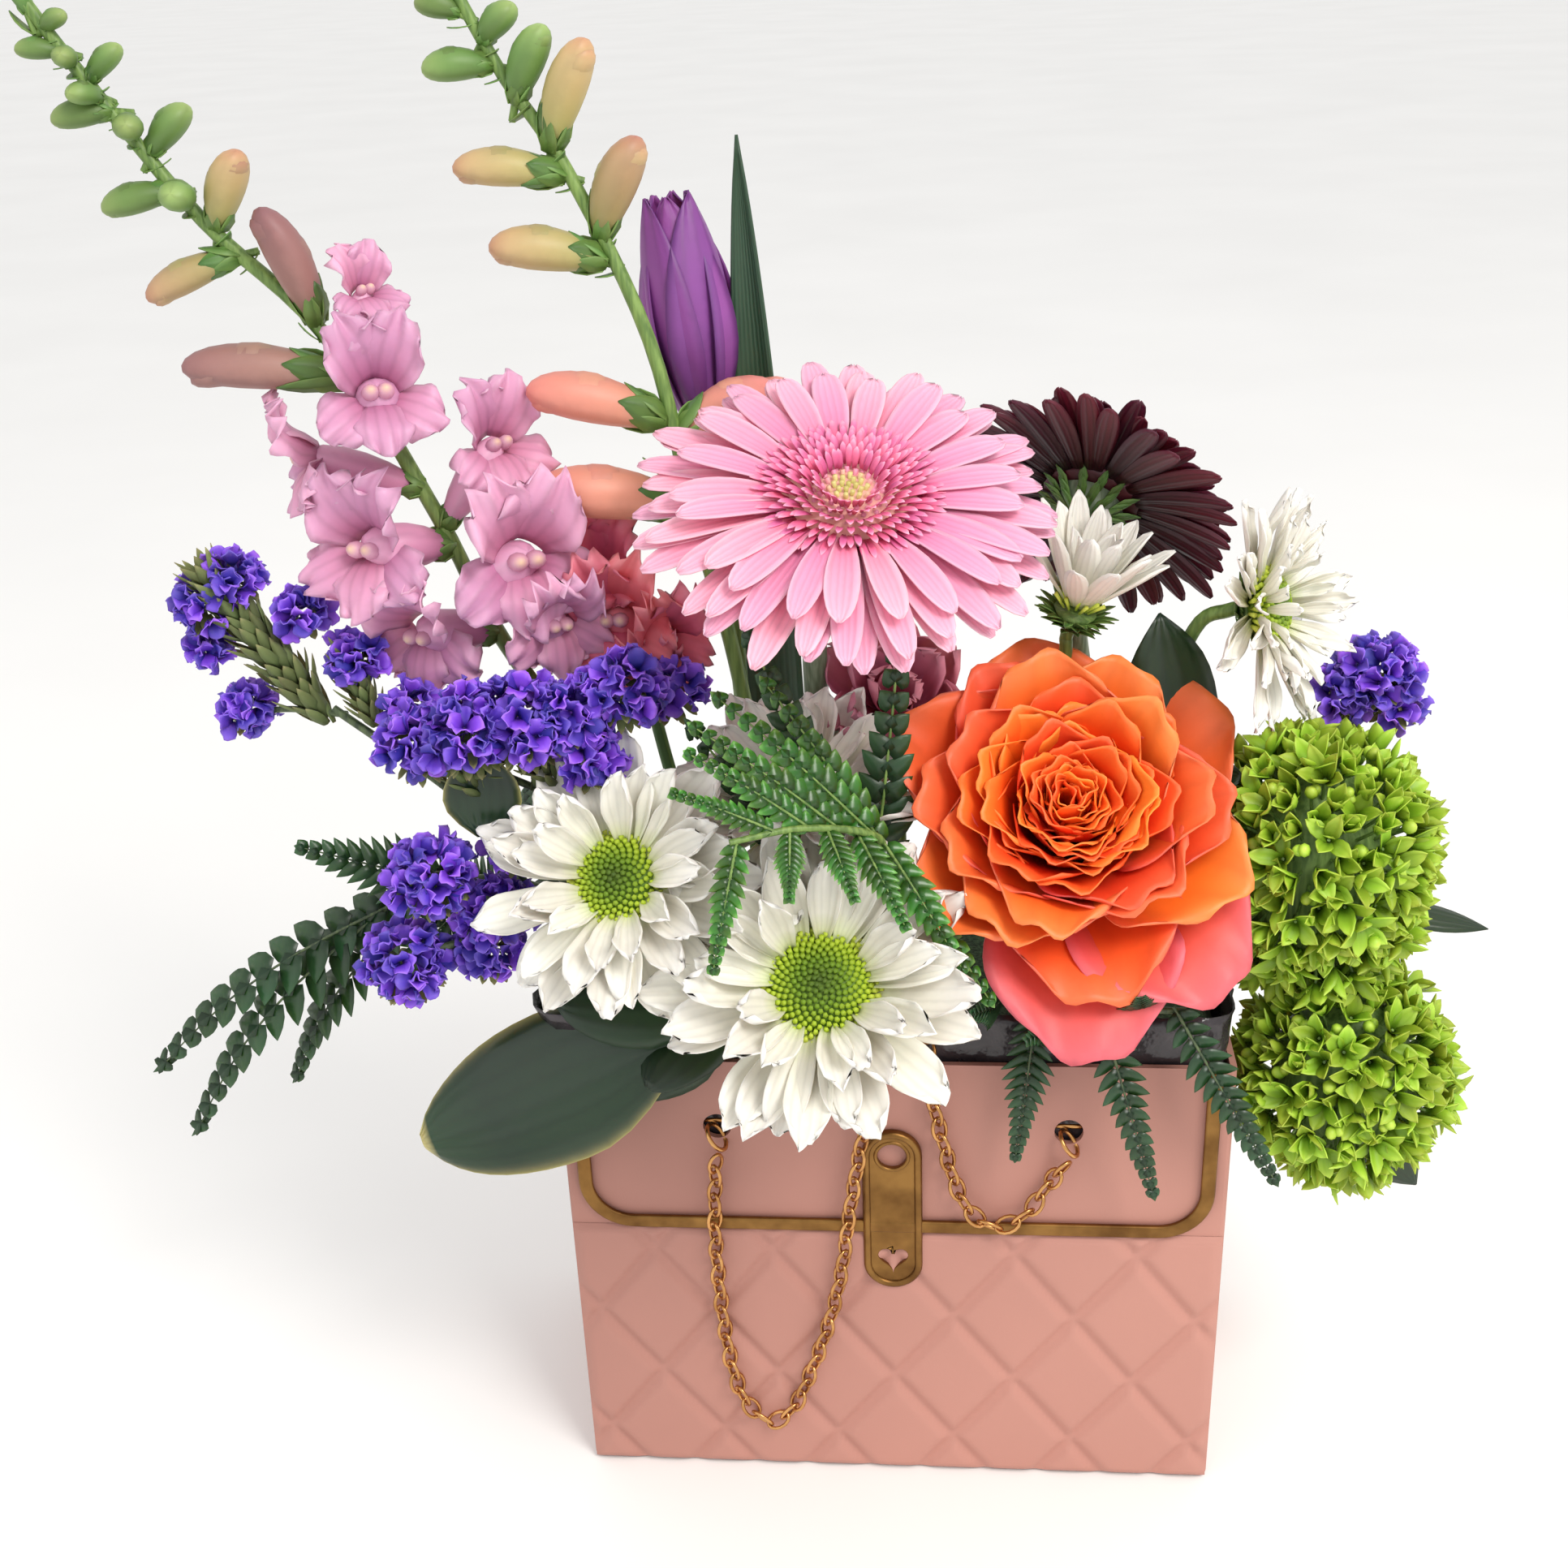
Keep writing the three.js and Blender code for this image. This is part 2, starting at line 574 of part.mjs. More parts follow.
function snapdragonSpike(name, route, radius, steps, buds) {
  const parts = buds.map(([foot, direction, length, thick]) => bud(foot, direction, length, thick));
  addPiece(stems, name, FINISH.stem, [tube(route, radius, steps), ...parts]);
}

function snapdragons() {
  snapdragonSpike('snapdragon_left_spike', [
    [-40, 2, 136], [-52, 2, 178], [-88, 0, 232], [-120, 0, 285], [-136, 0, 325],
    [-164, 3, 379], [-196, 5, 412], [-224, 5, 452], [-238, 5, 474],
  ], 2.8, 9, LEFT_BUDS);
  snapdragonSpike('snapdragon_centre_spike', [
    [-30, 12, 136], [-31, 12, 178], [-42, 9, 232], [-50, 7, 282], [-59, 8, 321],
    [-70, 12, 374], [-91, 15, 422], [-107, 15, 448], [-121, 15, 476],
  ], 2.7, 9, CENTRE_BUDS);
  addPiece(stems, 'snapdragon_coral_spike', FINISH.mauvePetal, [
    tube([[-60, 16, 136], [-62, 16, 178], [-74, 14, 240], [-86, 15, 306]], 2.6, 5),
    lump(-83, 9, 292, 14), lump(-70, 10, 282, 11), lump(-96, 12, 284, 11), lump(-88, 12, 302, 9),
  ]);
}

const LEFT_FLORETS = [
  ['top', [-150, 0, 352], [0.15, -0.7, 0.8], 34, 12],
  ['middle', [-136, 0, 322], [-0.8, -0.6, 0.1], 40, 15],
  ['right', [-126, -2, 300], [0.75, -0.55, 0.5], 44, 15],
  ['low', [-120, 0, 284], [-0.9, -0.4, 0], 42, 13],
];

function snapdragonFlorets() {
  for (const [place, foot, direction, length, radius] of LEFT_FLORETS) {
    const floret = bud(along(foot, direction, 4), direction, length, radius);
    addPiece(blooms, `snapdragon_left_floret_${place}`, FINISH.mauvePetal, [floret]);
  }
}

function mauveBloom() {
  addPiece(stems, 'mauve_bloom_stem', FINISH.stem, [
    tube([[2, 12, 136], [2, 12, 178], [1, 6, 256]], 2.4, 3),
  ]);
  addPiece(blooms, 'mauve_bloom', FINISH.mauvePetal, [ball([21, 19, 16], [1, 3, 273])]);
}

function statice() {
  addPiece(stems, 'statice_front_stem', FINISH.stem, [
    tube([[-72, -4, 136], [-74, -8, 175], [-88, -22, 225], [-104, -33, 256]], 1.8, 5, 5),
    ball([20, 9, 9], [-112, -38, 258]),
    ball([10, 8, 12], [-86, -34, 262]),
  ]);
  addPiece(blooms, 'statice_front_florets', FINISH.statice, [
    lump(-138, -38, 270, 12), lump(-122, -42, 277, 14), lump(-106, -40, 277, 14),
    lump(-92, -38, 279, 12), lump(-78, -33, 284, 11), lump(-86, -42, 264, 9),
  ]);
  addPiece(stems, 'statice_far_left_spray', FINISH.statice, [
    tube([[-76, 6, 136], [-78, 4, 172], [-106, -12, 208], [-140, -20, 246], [-172, -14, 268]], 1.6, 6, 5),
    tube([[-168, -14, 266], [-186, -12, 267], [-200, -10, 265]], 1.2, 2, 4),
    ball([9, 9, 28], [-186, -12, 286], [-0.6, 0, 1], 6, 4),
    lump(-209, -10, 303, 9), lump(-197, -10, 309, 9), lump(-178, -10, 298, 8),
    lump(-163, -12, 284, 9), lump(-201, -10, 266, 8), ball([14, 7, 7], [-168, -13, 276], [0, 0, 1], 6, 4),
  ]);
  addPiece(stems, 'statice_low_left_spray', FINISH.statice, [
    tube([[-84, -12, 136], [-88, -16, 172], [-108, -32, 192], [-122, -44, 206]], 1.6, 5, 5),
    tube([[-122, -44, 206], [-137, -50, 230]], 1.6, 1, 5),
    tube([[-122, -44, 206], [-146, -55, 203]], 1.6, 1, 5),
    lump(-122, -45, 208, 11), lump(-137, -50, 230, 13), lump(-146, -55, 203, 13),
  ]);
  addPiece(stems, 'statice_right_spray', FINISH.statice, [
    tube([[86, 22, 136], [90, 22, 175], [112, 16, 225], [142, 10, 262]], 1.6, 5, 5),
    lump(149, 10, 271, 12), lump(138, 9, 263, 9), lump(152, 9, 258, 8),
  ]);
}

// ---- foliage -----------------------------------------------------------------------------------

// a leaf or frond from one point to another
function between(blade, from, to, facing) {
  const direction = vec(...to).sub(vec(...from)).toArray();
  return lay(blade, from, direction, facing);
}

function span(from, to) {
  return vec(...to).distanceTo(vec(...from));
}

const CENTRE_LEAFLETS = [
  [[-3, -60, 247], [-46, -58, 288]], [[-12, -65, 251], [-53, -66, 280]],
  [[-32, -76, 256], [-58, -76, 267]], [[-24, -73, 256], [-10, -84, 240]],
  [[-12, -65, 251], [4, -82, 230]], [[-2, -59, 246], [22, -80, 213]],
  [[-40, -80, 256], [-47, -93, 224]],
];

function fernCentre() {
  const rachis = [
    [-8, -24, 136], [-8, -30, 180], [-5, -46, 226], [-2, -60, 247], [-22, -72, 256], [-42, -81, 256],
  ];
  addPiece(foliage, 'fern_centre', FINISH.fern, [
    tube(rachis, 1.6, 15, 4),
    ...CENTRE_LEAFLETS.map(([from, to]) => (
      between(leafBlade(span(from, to), 13, 2), from, to, [0.1, -0.7, 0.7]))),
  ]);
}

function frondFan(name, rachis, fronds, width, pairs, droop, facing) {
  addPiece(foliage, name, FINISH.fern, [
    tube(rachis, 1.6, 7, 4),
    ...fronds.map(([from, to]) => (
      between(frondBlade(span(from, to), width, pairs, droop), from, to, facing))),
  ]);
}

function ferns() {
  fernCentre();
  frondFan('fern_left', [[-90, 12, 136], [-94, 8, 172], [-122, -6, 204], [-158, -18, 206]], [
    [[-152, -17, 206], [-246, -25, 142]],
    [[-156, -18, 205], [-234, -32, 122]],
    [[-148, -16, 206], [-200, -24, 138]],
  ], 24, 3, -10, [-0.4, -0.8, 0.6]);
  frondFan('fern_front', [[30, -28, 140], [33, -42, 182], [48, -53, 187], [68, -55, 188], [88, -54, 187]], [
    [[44, -51, 186], [38, -63, 142]],
    [[62, -55, 188], [80, -64, 130]],
    [[84, -54, 187], [114, -64, 136]],
  ], 13, 3, -3, [0, -0.9, 0.3]);
}

function leaves() {
  addPiece(foliage, 'variegated_sprig', FINISH.leaf, [
    tube([[-46, -26, 140], [-48, -34, 180], [-57, -50, 184], [-66, -59, 176]], 1.6, 5, 4),
    lay(leafBlade(88, 47, 5), [-64, -57, 177], [-80, -17, -29], [0, -0.85, 0.5]),
    lay(leafBlade(46, 27, 3), [-56, -49, 184], [-42, -14, 12], [0.1, -0.6, 0.8]),
  ]);
  addPiece(foliage, 'rounded_leaf', FINISH.leaf, [
    tube([[-94, -22, 140], [-96, -24, 176], [-110, -34, 222], [-122, -43, 240]], 1.1, 5, 4),
    lay(leafBlade(24, 24, 1), [-121, -42, 238], [-0.25, -0.1, 1], [-0.2, -1, 0.2]),
  ]);
}

// ---- building, in the order in which pieces take their space -----------------------------------

flowerBox();
goldFrameBar();
claspPlate();
chainEnds('left', -CHAIN_HOLE.x);
chainEnds('right', CHAIN_HOLE.x);
chainStrap();
for (const [name, bloom] of Object.entries(DAISIES)) daisyStem(name, bloom);
roseStem();
hydrangeaStem();
tulip();
snapdragons();
ferns();
leaves();
statice();
for (const [name, bloom] of Object.entries(DAISIES)) daisyBloom(name, bloom);
roseBloom();
hydrangeaHeads();
snapdragonFlorets();
mauveBloom();
plasticLiner();
floralFoam();

export default arrangement;
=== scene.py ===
"""Flower box arrangement: cut flowers and foliage in a box shaped like a quilted handbag."""

import math
import random

import bmesh
import bpy
from mathutils import Matrix, Vector, noise


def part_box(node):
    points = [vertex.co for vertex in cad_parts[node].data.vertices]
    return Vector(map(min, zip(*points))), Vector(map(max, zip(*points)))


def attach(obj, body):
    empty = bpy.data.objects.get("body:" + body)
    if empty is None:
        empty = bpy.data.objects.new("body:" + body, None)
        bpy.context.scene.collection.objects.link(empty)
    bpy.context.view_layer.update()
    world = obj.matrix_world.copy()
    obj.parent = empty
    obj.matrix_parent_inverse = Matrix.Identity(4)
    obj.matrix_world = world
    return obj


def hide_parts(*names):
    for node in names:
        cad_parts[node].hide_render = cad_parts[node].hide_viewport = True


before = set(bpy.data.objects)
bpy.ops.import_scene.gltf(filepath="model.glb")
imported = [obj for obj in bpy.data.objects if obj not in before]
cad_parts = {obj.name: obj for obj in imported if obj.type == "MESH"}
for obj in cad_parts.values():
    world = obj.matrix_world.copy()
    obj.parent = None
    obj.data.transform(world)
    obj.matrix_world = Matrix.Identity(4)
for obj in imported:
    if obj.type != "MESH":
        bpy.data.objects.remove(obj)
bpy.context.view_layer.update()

MM = 0.001
TAU = 2 * math.pi
GOLDEN_TURN = math.pi * (3 - math.sqrt(5))
draw = random.Random(11)

BOX = {"width": 210, "depth": 100, "height": 164, "board": 2, "corner": 1.5}
FRONT = -BOX["depth"] / 2
GAP = 0.4
HOLE = {"x": 55, "z": 140, "radius": 4.5}
BAR = {"half_width": 98.5, "bottom": 103.5, "corner": 15, "band": 4.6, "thickness": 2.0}
CLASP = {"z": 110, "width": 19, "height": 61, "thickness": 1.8, "edge": 0.5, "rim": 1.3}
CLASP_HOLE = {"z": 131, "radius": 4.6, "eyelet": 5.2, "wire": 0.7}
CLASP_HEART = {"z": 91, "width": 9.5}
QUILT = {"width": 39, "slope": 1.32, "crossing_z": 92.4, "relief": 1.9, "groove": 5, "top": 101,
         "foot": 0.8, "margin": 0.6, "backing": 0.15}
LINK = {"pitch": 5.8, "half_length": 4.1, "half_width": 2.5, "wire": 0.62, "twist": 0.75}
END_RING = {"half_length": 4.6, "half_width": 3.9, "wire": 0.75, "out": 2.2, "drop": 2.6, "turn": 0.86,
            "tip": 0.62}
STOP_BAR = {"half_length": 7, "taper": 0.4, "radius": 0.9}
LINER = {"clearance": 2.8, "corner": 5, "foot": 3, "top": 182, "film": 0.25}
FOAM_BLOCK = {"edge": 9, "cell": 6, "dent": 0.6}


# ---- camera ------------------------------------------------------------------------------------


def set_camera():
    camera = bpy.data.cameras.new("camera")
    camera.lens, camera.sensor_width = 42.86, 36
    viewer = bpy.data.objects.new("camera", camera)
    bpy.context.collection.objects.link(viewer)
    right, up, back = (0.99608, 0.08062, -0.03637), (-0.00127, 0.42418, 0.90558), (0.08844, -0.90198,
                                                                                   0.42262)
    turn = Matrix((right, up, back)).transposed().to_4x4()
    viewer.matrix_world = Matrix.Translation((0.018, -0.534, 0.486)) @ turn
    bpy.context.scene.camera = viewer


set_camera()


# ---- points and directions ---------------------------------------------------------------------


def mm(point):
    return Vector(point) * MM


def smooth_route(corners, spans=6):
    """points in metres along a smooth curve through corners in millimetres"""
    given = [mm(corner) for corner in corners]
    given = [2 * given[0] - given[1], *given, 2 * given[-1] - given[-2]]
    route = []
    for a, b, c, d in zip(given, given[1:], given[2:], given[3:]):
        for step in range(spans):
            t = step / spans
            bow = (2 * a - 5 * b + 4 * c - d) * t * t + (3 * b - a - 3 * c + d) * t**3
            route.append(0.5 * (2 * b + (c - a) * t + bow))
    return [*route, given[-2]]


def route_length(route):
    return sum((b - a).length for a, b in zip(route, route[1:]))


def aim(at, direction, up=(0, 0, 1)):
    """a frame at a point in metres: its Z along the direction, its Y as near as can be to up"""
    z = Vector(direction).normalized()
    y = Vector(up) - z * z.dot(Vector(up))
    y = y.normalized() if y.length > 0.02 else z.orthogonal().normalized()
    turn = Matrix((y.cross(z), y, z)).transposed().to_4x4()
    return Matrix.Translation(at) @ turn


def lay(at, along, facing):
    """a frame at a point in metres: its Y along one direction, its Z as near as can be to facing"""
    y = Vector(along).normalized()
    z = Vector(facing) - y * y.dot(Vector(facing))
    z = z.normalized() if z.length > 0.02 else y.orthogonal().normalized()
    turn = Matrix((y.cross(z), y, z)).transposed().to_4x4()
    return Matrix.Translation(at) @ turn


def around(bloom, angle, radius, height, lift):
    """where a petal starts in a bloom's frame: turned about its axis, moved out and tipped up"""
    out = Matrix.Translation(mm((0, radius, height)))
    return bloom @ Matrix.Rotation(angle, 4, "Z") @ out @ Matrix.Rotation(lift, 4, "X")


# ---- finishes ----------------------------------------------------------------------------------


def shade(colour):
    """a colour written in hexadecimal, as linear red, green, blue and alpha"""
    values = [int(colour[i : i + 2], 16) / 255 for i in (0, 2, 4)]
    return (*[v / 12.92 if v <= 0.04045 else ((v + 0.055) / 1.055) ** 2.4 for v in values], 1)


def node(tree, kind, inputs, **settings):
    made = tree.nodes.new(kind)
    for name, value in settings.items():
        setattr(made, name, value)
    for name, value in inputs.items():
        if isinstance(value, bpy.types.NodeSocket):
            tree.links.new(value, made.inputs[name])
        else:
            made.inputs[name].default_value = value
    return made


def sum_of(tree, operation, *values):
    inputs = dict(enumerate(values))
    return node(tree, "ShaderNodeMath", inputs, operation=operation).outputs[0]


def mixed(tree, share, first, second, blend="MIX"):
    made = tree.nodes.new("ShaderNodeMix")
    made.data_type, made.blend_type = "RGBA", blend
    colours = [socket for socket in made.inputs if socket.type == "RGBA"]
    for socket, value in ((made.inputs[0], share), (colours[0], first), (colours[1], second)):
        if isinstance(value, bpy.types.NodeSocket):
            tree.links.new(value, socket)
        else:
            socket.default_value = value
    return next(socket for socket in made.outputs if socket.type == "RGBA")


def ramp(tree, value, stops):
    made = node(tree, "ShaderNodeValToRGB", {0: value})
    stripes = made.color_ramp.elements
    for _ in stops[2:]:
        stripes.new(0.5)
    for stripe, (place, colour) in zip(stripes, stops):
        stripe.position, stripe.color = place, shade(colour)
    return made.outputs[0]


def new_finish(name, roughness, metallic=0.0):
    material = bpy.data.materials.new(name)
    material.use_nodes = True
    shader = material.node_tree.nodes["Principled BSDF"]
    shader.inputs["Roughness"].default_value = roughness
    shader.inputs["Metallic"].default_value = metallic
    return material, material.node_tree, shader


def grain(tree, scale, detail=3.0):
    spot = node(tree, "ShaderNodeTexCoord", {}).outputs["Object"]
    return node(tree, "ShaderNodeTexNoise", {"Vector": spot, "Scale": scale, "Detail": detail}).outputs[0]


def raise_surface(tree, shader, height, distance, strength=1.0):
    bump = node(tree, "ShaderNodeBump", {"Height": height, "Distance": distance, "Strength": strength})
    tree.links.new(bump.outputs[0], shader.inputs["Normal"])


def grown(name, stops, by="length", edge=None, veins=0, vein=0.15, roughness=0.5, glow=0.12, vary=0.12,
          mottle=0.12, hue=0.012):
    """a petal or leaf finish: colours from foot to tip, or by each vertex's tone, with veins and a rim"""
    material, tree, shader = new_finish(name, roughness)
    spot = node(tree, "ShaderNodeUVMap", {}, uv_map="UVMap").outputs[0]
    split = node(tree, "ShaderNodeSeparateXYZ", {0: spot})
    tone = node(tree, "ShaderNodeAttribute", {}, attribute_name="tone").outputs["Fac"]
    colour = ramp(tree, tone if by == "tone" else split.outputs[1], stops)
    across = sum_of(tree, "ABSOLUTE", sum_of(tree, "MULTIPLY_ADD", split.outputs[0], 2.0, -1.0))
    if edge:
        rim, spread, share = edge
        at_edge = sum_of(tree, "MULTIPLY", sum_of(tree, "POWER", across, spread), share)
        colour = mixed(tree, at_edge, colour, shade(rim))
    speckle = grain(tree, 260)
    height = speckle
    if veins:
        wavy = sum_of(tree, "MULTIPLY_ADD", split.outputs[0], veins * TAU,
                      sum_of(tree, "MULTIPLY", speckle, 2.0))
        lines = sum_of(tree, "MULTIPLY_ADD", sum_of(tree, "SINE", wavy), 0.5, 0.5)
        dark = sum_of(tree, "MULTIPLY", sum_of(tree, "POWER", lines, 3.0), vein)
        colour = mixed(tree, dark, colour, (0, 0, 0, 1))
        height = lines
    spread = sum_of(tree, "MULTIPLY_ADD", speckle, mottle, 1 - mottle / 2)
    own = 1.0 if by == "tone" else sum_of(tree, "MULTIPLY_ADD", tone, vary, 1.0)
    turn = 0.5 if by == "tone" else sum_of(tree, "MULTIPLY_ADD", tone, hue, 0.5)
    value = sum_of(tree, "MULTIPLY", spread, own)
    toned = node(tree, "ShaderNodeHueSaturation", {"Hue": turn, "Value": value, "Color": colour})
    tree.links.new(toned.outputs[0], shader.inputs["Base Color"])
    if glow:
        shader.inputs["Subsurface Weight"].default_value = glow
        shader.inputs["Subsurface Radius"].default_value = (1.0, 0.6, 0.4)
        shader.inputs["Subsurface Scale"].default_value = 0.003
    raise_surface(tree, shader, height, 0.0002, 0.5)
    return material


def stalk_finish(name, light, dark, roughness=0.5):
    material, tree, shader = new_finish(name, roughness)
    spot = node(tree, "ShaderNodeTexCoord", {}).outputs["Object"]
    long = node(tree, "ShaderNodeMapping", {"Vector": spot, "Scale": (1, 1, 0.08)}).outputs[0]
    streak = node(tree, "ShaderNodeTexNoise", {"Vector": long, "Scale": 700.0, "Detail": 2.0}).outputs[0]
    colour = ramp(tree, streak, [(0.35, dark), (0.65, light)])
    tree.links.new(colour, shader.inputs["Base Color"])
    raise_surface(tree, shader, streak, 0.0003, 0.5)
    return material


def metal_finish(name, light, dark, roughness):
    material, tree, shader = new_finish(name, roughness, 1.0)
    wear = grain(tree, 90)
    tree.links.new(ramp(tree, wear, [(0.3, dark), (0.7, light)]), shader.inputs["Base Color"])
    raise_surface(tree, shader, grain(tree, 1500), 0.00005, 0.3)
    return material


def board_finish():
    material, tree, shader = new_finish("pink_board_painted_light", 0.62)
    spot = node(tree, "ShaderNodeTexCoord", {}).outputs["Object"]
    split = node(tree, "ShaderNodeSeparateXYZ", {0: spot})
    # painted light and shade: the board's colour runs from dark at the upper left to light at the lower
    # right of the box, where the key light falls; the noise adds random tone
    side = sum_of(tree, "MULTIPLY_ADD", split.outputs[0], 2.4, 0.5)
    low = sum_of(tree, "MULTIPLY_ADD", split.outputs[2], -2.4, 0.35)
    place = sum_of(tree, "ADD", side, low)
    cloud = sum_of(tree, "MULTIPLY_ADD", grain(tree, 18), 0.2, place)
    colour = ramp(tree, cloud, [(0.1, "93675d"), (0.95, "bd8678")])
    tree.links.new(colour, shader.inputs["Base Color"])
    raise_surface(tree, shader, grain(tree, 1400), 0.00008, 0.35)
    return material


def film_finish():
    material, tree, shader = new_finish("dark_film", 0.22)
    cloud = grain(tree, 60)
    tree.links.new(ramp(tree, cloud, [(0.3, "1d181b"), (0.75, "4a4347")]), shader.inputs["Base Color"])
    raise_surface(tree, shader, grain(tree, 140), 0.002, 0.6)
    return material


def foam_finish():
    material, tree, shader = new_finish("wet_green_foam", 0.95)
    pores = grain(tree, 900, 5.0)
    tree.links.new(ramp(tree, pores, [(0.35, "1f2f1c"), (0.7, "47603f")]), shader.inputs["Base Color"])
    raise_surface(tree, shader, pores, 0.001, 0.8)
    return material


BOARD = board_finish()
GOLD = metal_finish("antique_gold", "97713f", "6b4b29", 0.42)
CHAIN_GOLD = metal_finish("chain_gold", "dba86a", "a97744", 0.28)
FILM = film_finish()
FOAM = foam_finish()
STALK = stalk_finish("green_stalk", "7d9a4e", "547232")
GREY_STALK = stalk_finish("grey_green_stalk", "8c9a80", "5d6d52")
DARK_STALK = stalk_finish("dark_stalk", "5a6a44", "32402a")
SEPAL = grown("sepal", [(0.0, "5f8038"), (1.0, "3f662d")], veins=3, edge=("86a95a", 4, 0.5))
SPEAR_LEAF = grown("spear_leaf", [(0.0, "3c5b40"), (0.6, "33543c"), (1.0, "2c4b36")], veins=9, vein=0.2,
                   roughness=0.42)
DARK_LEAF = grown("dark_leaf", [(0.0, "243d20"), (0.5, "1a3318"), (1.0, "152b18")], veins=5, vein=0.2,
                  roughness=0.38)
CREAM_EDGE = grown("cream_edged_leaf", [(0.0, "1f3a22"), (0.6, "152c1b"), (0.93, "1d3a22"),
                                        (0.99, "cfc684")], roughness=0.3,
                   edge=("c4be78", 22, 0.9), veins=7, vein=0.12)
FERN = grown("fern_leaflet", [(0.0, "1d4414"), (0.55, "36701f"), (1.0, "7db25a")], roughness=0.3, vary=0.35)
DARK_FERN = grown("dark_fern_leaflet", [(0.0, "142e16"), (1.0, "27512a")], roughness=0.36, vary=0.25)
PINK_RAY = grown("pink_ray", [(0.0, "e06f98"), (0.35, "f093b3"), (1.0, "f6b0c8")], veins=5, vein=0.14,
                 edge=("fbcbdb", 5, 0.6), vary=0.09)
PINK_TUFT = grown("deep_pink_tuft", [(0.0, "cf4f82"), (0.6, "ea709d"), (1.0, "f8a9c6")], vary=0.14)
PINK_EYE = grown("pink_eye", [(0.0, "b9b35e"), (0.42, "d9cf86"), (0.55, "e98cab"), (1.0, "ef9db6")],
                 by="tone")
MAROON_RAY = grown("maroon_ray", [(0.0, "2a0812"), (0.5, "4a0d20"), (1.0, "5e1730")], veins=4, vein=0.35,
                   glow=0.05,
                   roughness=0.4, vary=0.3)
WHITE_RAY = grown("white_ray", [(0.0, "c9cf92"), (0.25, "e9e5d6"), (1.0, "f3efe8")], veins=5, vein=0.1,
                  vary=0.07)
DISC = grown("green_disc", [(0.0, "3c5410"), (0.4, "6d8f16"), (0.75, "b3cb30"), (1.0, "dbe25e")], by="tone",
             roughness=0.6)
# the deep orange of the rose's heart is its own colour; the dark red-orange at each inner petal's foot is
# painted shade deep inside the bloom
ORANGE_HEART_PAINTED_SHADE = grown("orange_heart_painted_shade", [(0.0, "c93706"), (0.55, "f5570f"), (1.0, "ff7d31")], veins=3,
                     vein=0.05,
                     vary=0.06)
ORANGE_OUTER = grown("orange_outer", [(0.0, "d8440c"), (0.6, "f76a27"), (1.0, "f4793f")], veins=5, vein=0.07,
                     edge=("f0705c", 5, 0.8), vary=0.06)
CORAL_OUTER = grown("coral_outer", [(0.0, "e8521c"), (0.5, "ee6440"), (1.0, "e8686a")], veins=5, vein=0.07,
                    edge=("e56a70", 3, 0.9), vary=0.05)
LIME = grown("lime_floret", [(0.0, "5f8414"), (0.5, "93b52a"), (1.0, "bfd64f")], vary=0.22, roughness=0.5)
PURPLE = grown("tulip_purple", [(0.0, "6d3a7c"), (0.4, "924c9b"), (1.0, "7d3a86")], veins=5, vein=0.12,
               edge=("5a2c72", 6, 0.6), vary=0.06)
SNAP_PINK = grown("snapdragon_pink", [(0.0, "b96f92"), (0.5, "d08fb2"), (1.0, "dea5c4")], veins=5, vein=0.14,
                  edge=("e6b7d0", 3, 0.5), vary=0.12)
THROAT = grown("snapdragon_throat", [(0.0, "c084a2"), (0.75, "cf9db0"), (1.0, "dcbb9c")], vary=0.08)
CORAL = grown("coral_snapdragon", [(0.0, "c94d66"), (0.6, "e06c80"), (1.0, "ea8a98")], veins=4, vein=0.08)
GREEN_BUD = grown("green_bud", [(0.0, "4a6a2c"), (0.6, "688744"), (1.0, "94a862")], veins=3, vary=0.15)
PEACH_BUD = grown("peach_bud", [(0.0, "6d8040"), (0.35, "a59c62"), (0.75, "bd9c72"), (1.0, "b87f66")],
                  veins=3,
                  vein=0.1)
MAUVE_BUD = grown("mauve_bud", [(0.0, "8a7a55"), (0.4, "a27a6e"), (1.0, "8d5d60")], veins=3, vein=0.15)
BLUSH_BUD = grown("blush_bud", [(0.0, "a58a5c"), (0.35, "d18d76"), (1.0, "dc8178")], veins=3, vein=0.1)
MAUVE_BLOOM = grown("mauve_bloom_petal", [(0.0, "a8506e"), (0.6, "c76f86"), (1.0, "d78a9a")], veins=4,
                    vein=0.08)
STATICE = grown("statice_petal", [(0.0, "33188a"), (0.5, "5b35bd"), (1.0, "8a63e2")], roughness=0.6,
                vary=0.35,
                hue=0.02)
CALYX = grown("papery_calyx", [(0.0, "4a5a30"), (0.7, "66703f"), (1.0, "8a8358")], roughness=0.7, vary=0.25)


# ---- making pieces -----------------------------------------------------------------------------


def show(name, mesh, nodes, finishes):
    piece = bpy.data.objects.new(name, mesh)
    bpy.context.collection.objects.link(piece)
    for material in finishes:
        mesh.materials.append(material)
    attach(piece, "root")
    if nodes:
        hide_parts(*nodes)
    return piece


def finished_mesh(name, shape):
    """turns a shape being built into a mesh and lets the working copy go"""
    mesh = bpy.data.meshes.new(name)
    shape.to_mesh(mesh)
    shape.free()
    return mesh


def mesh_of(curve):
    holder = bpy.data.objects.new("outline", curve)
    mesh = bpy.data.meshes.new_from_object(holder)
    bpy.data.objects.remove(holder)
    bpy.data.curves.remove(curve)
    return mesh


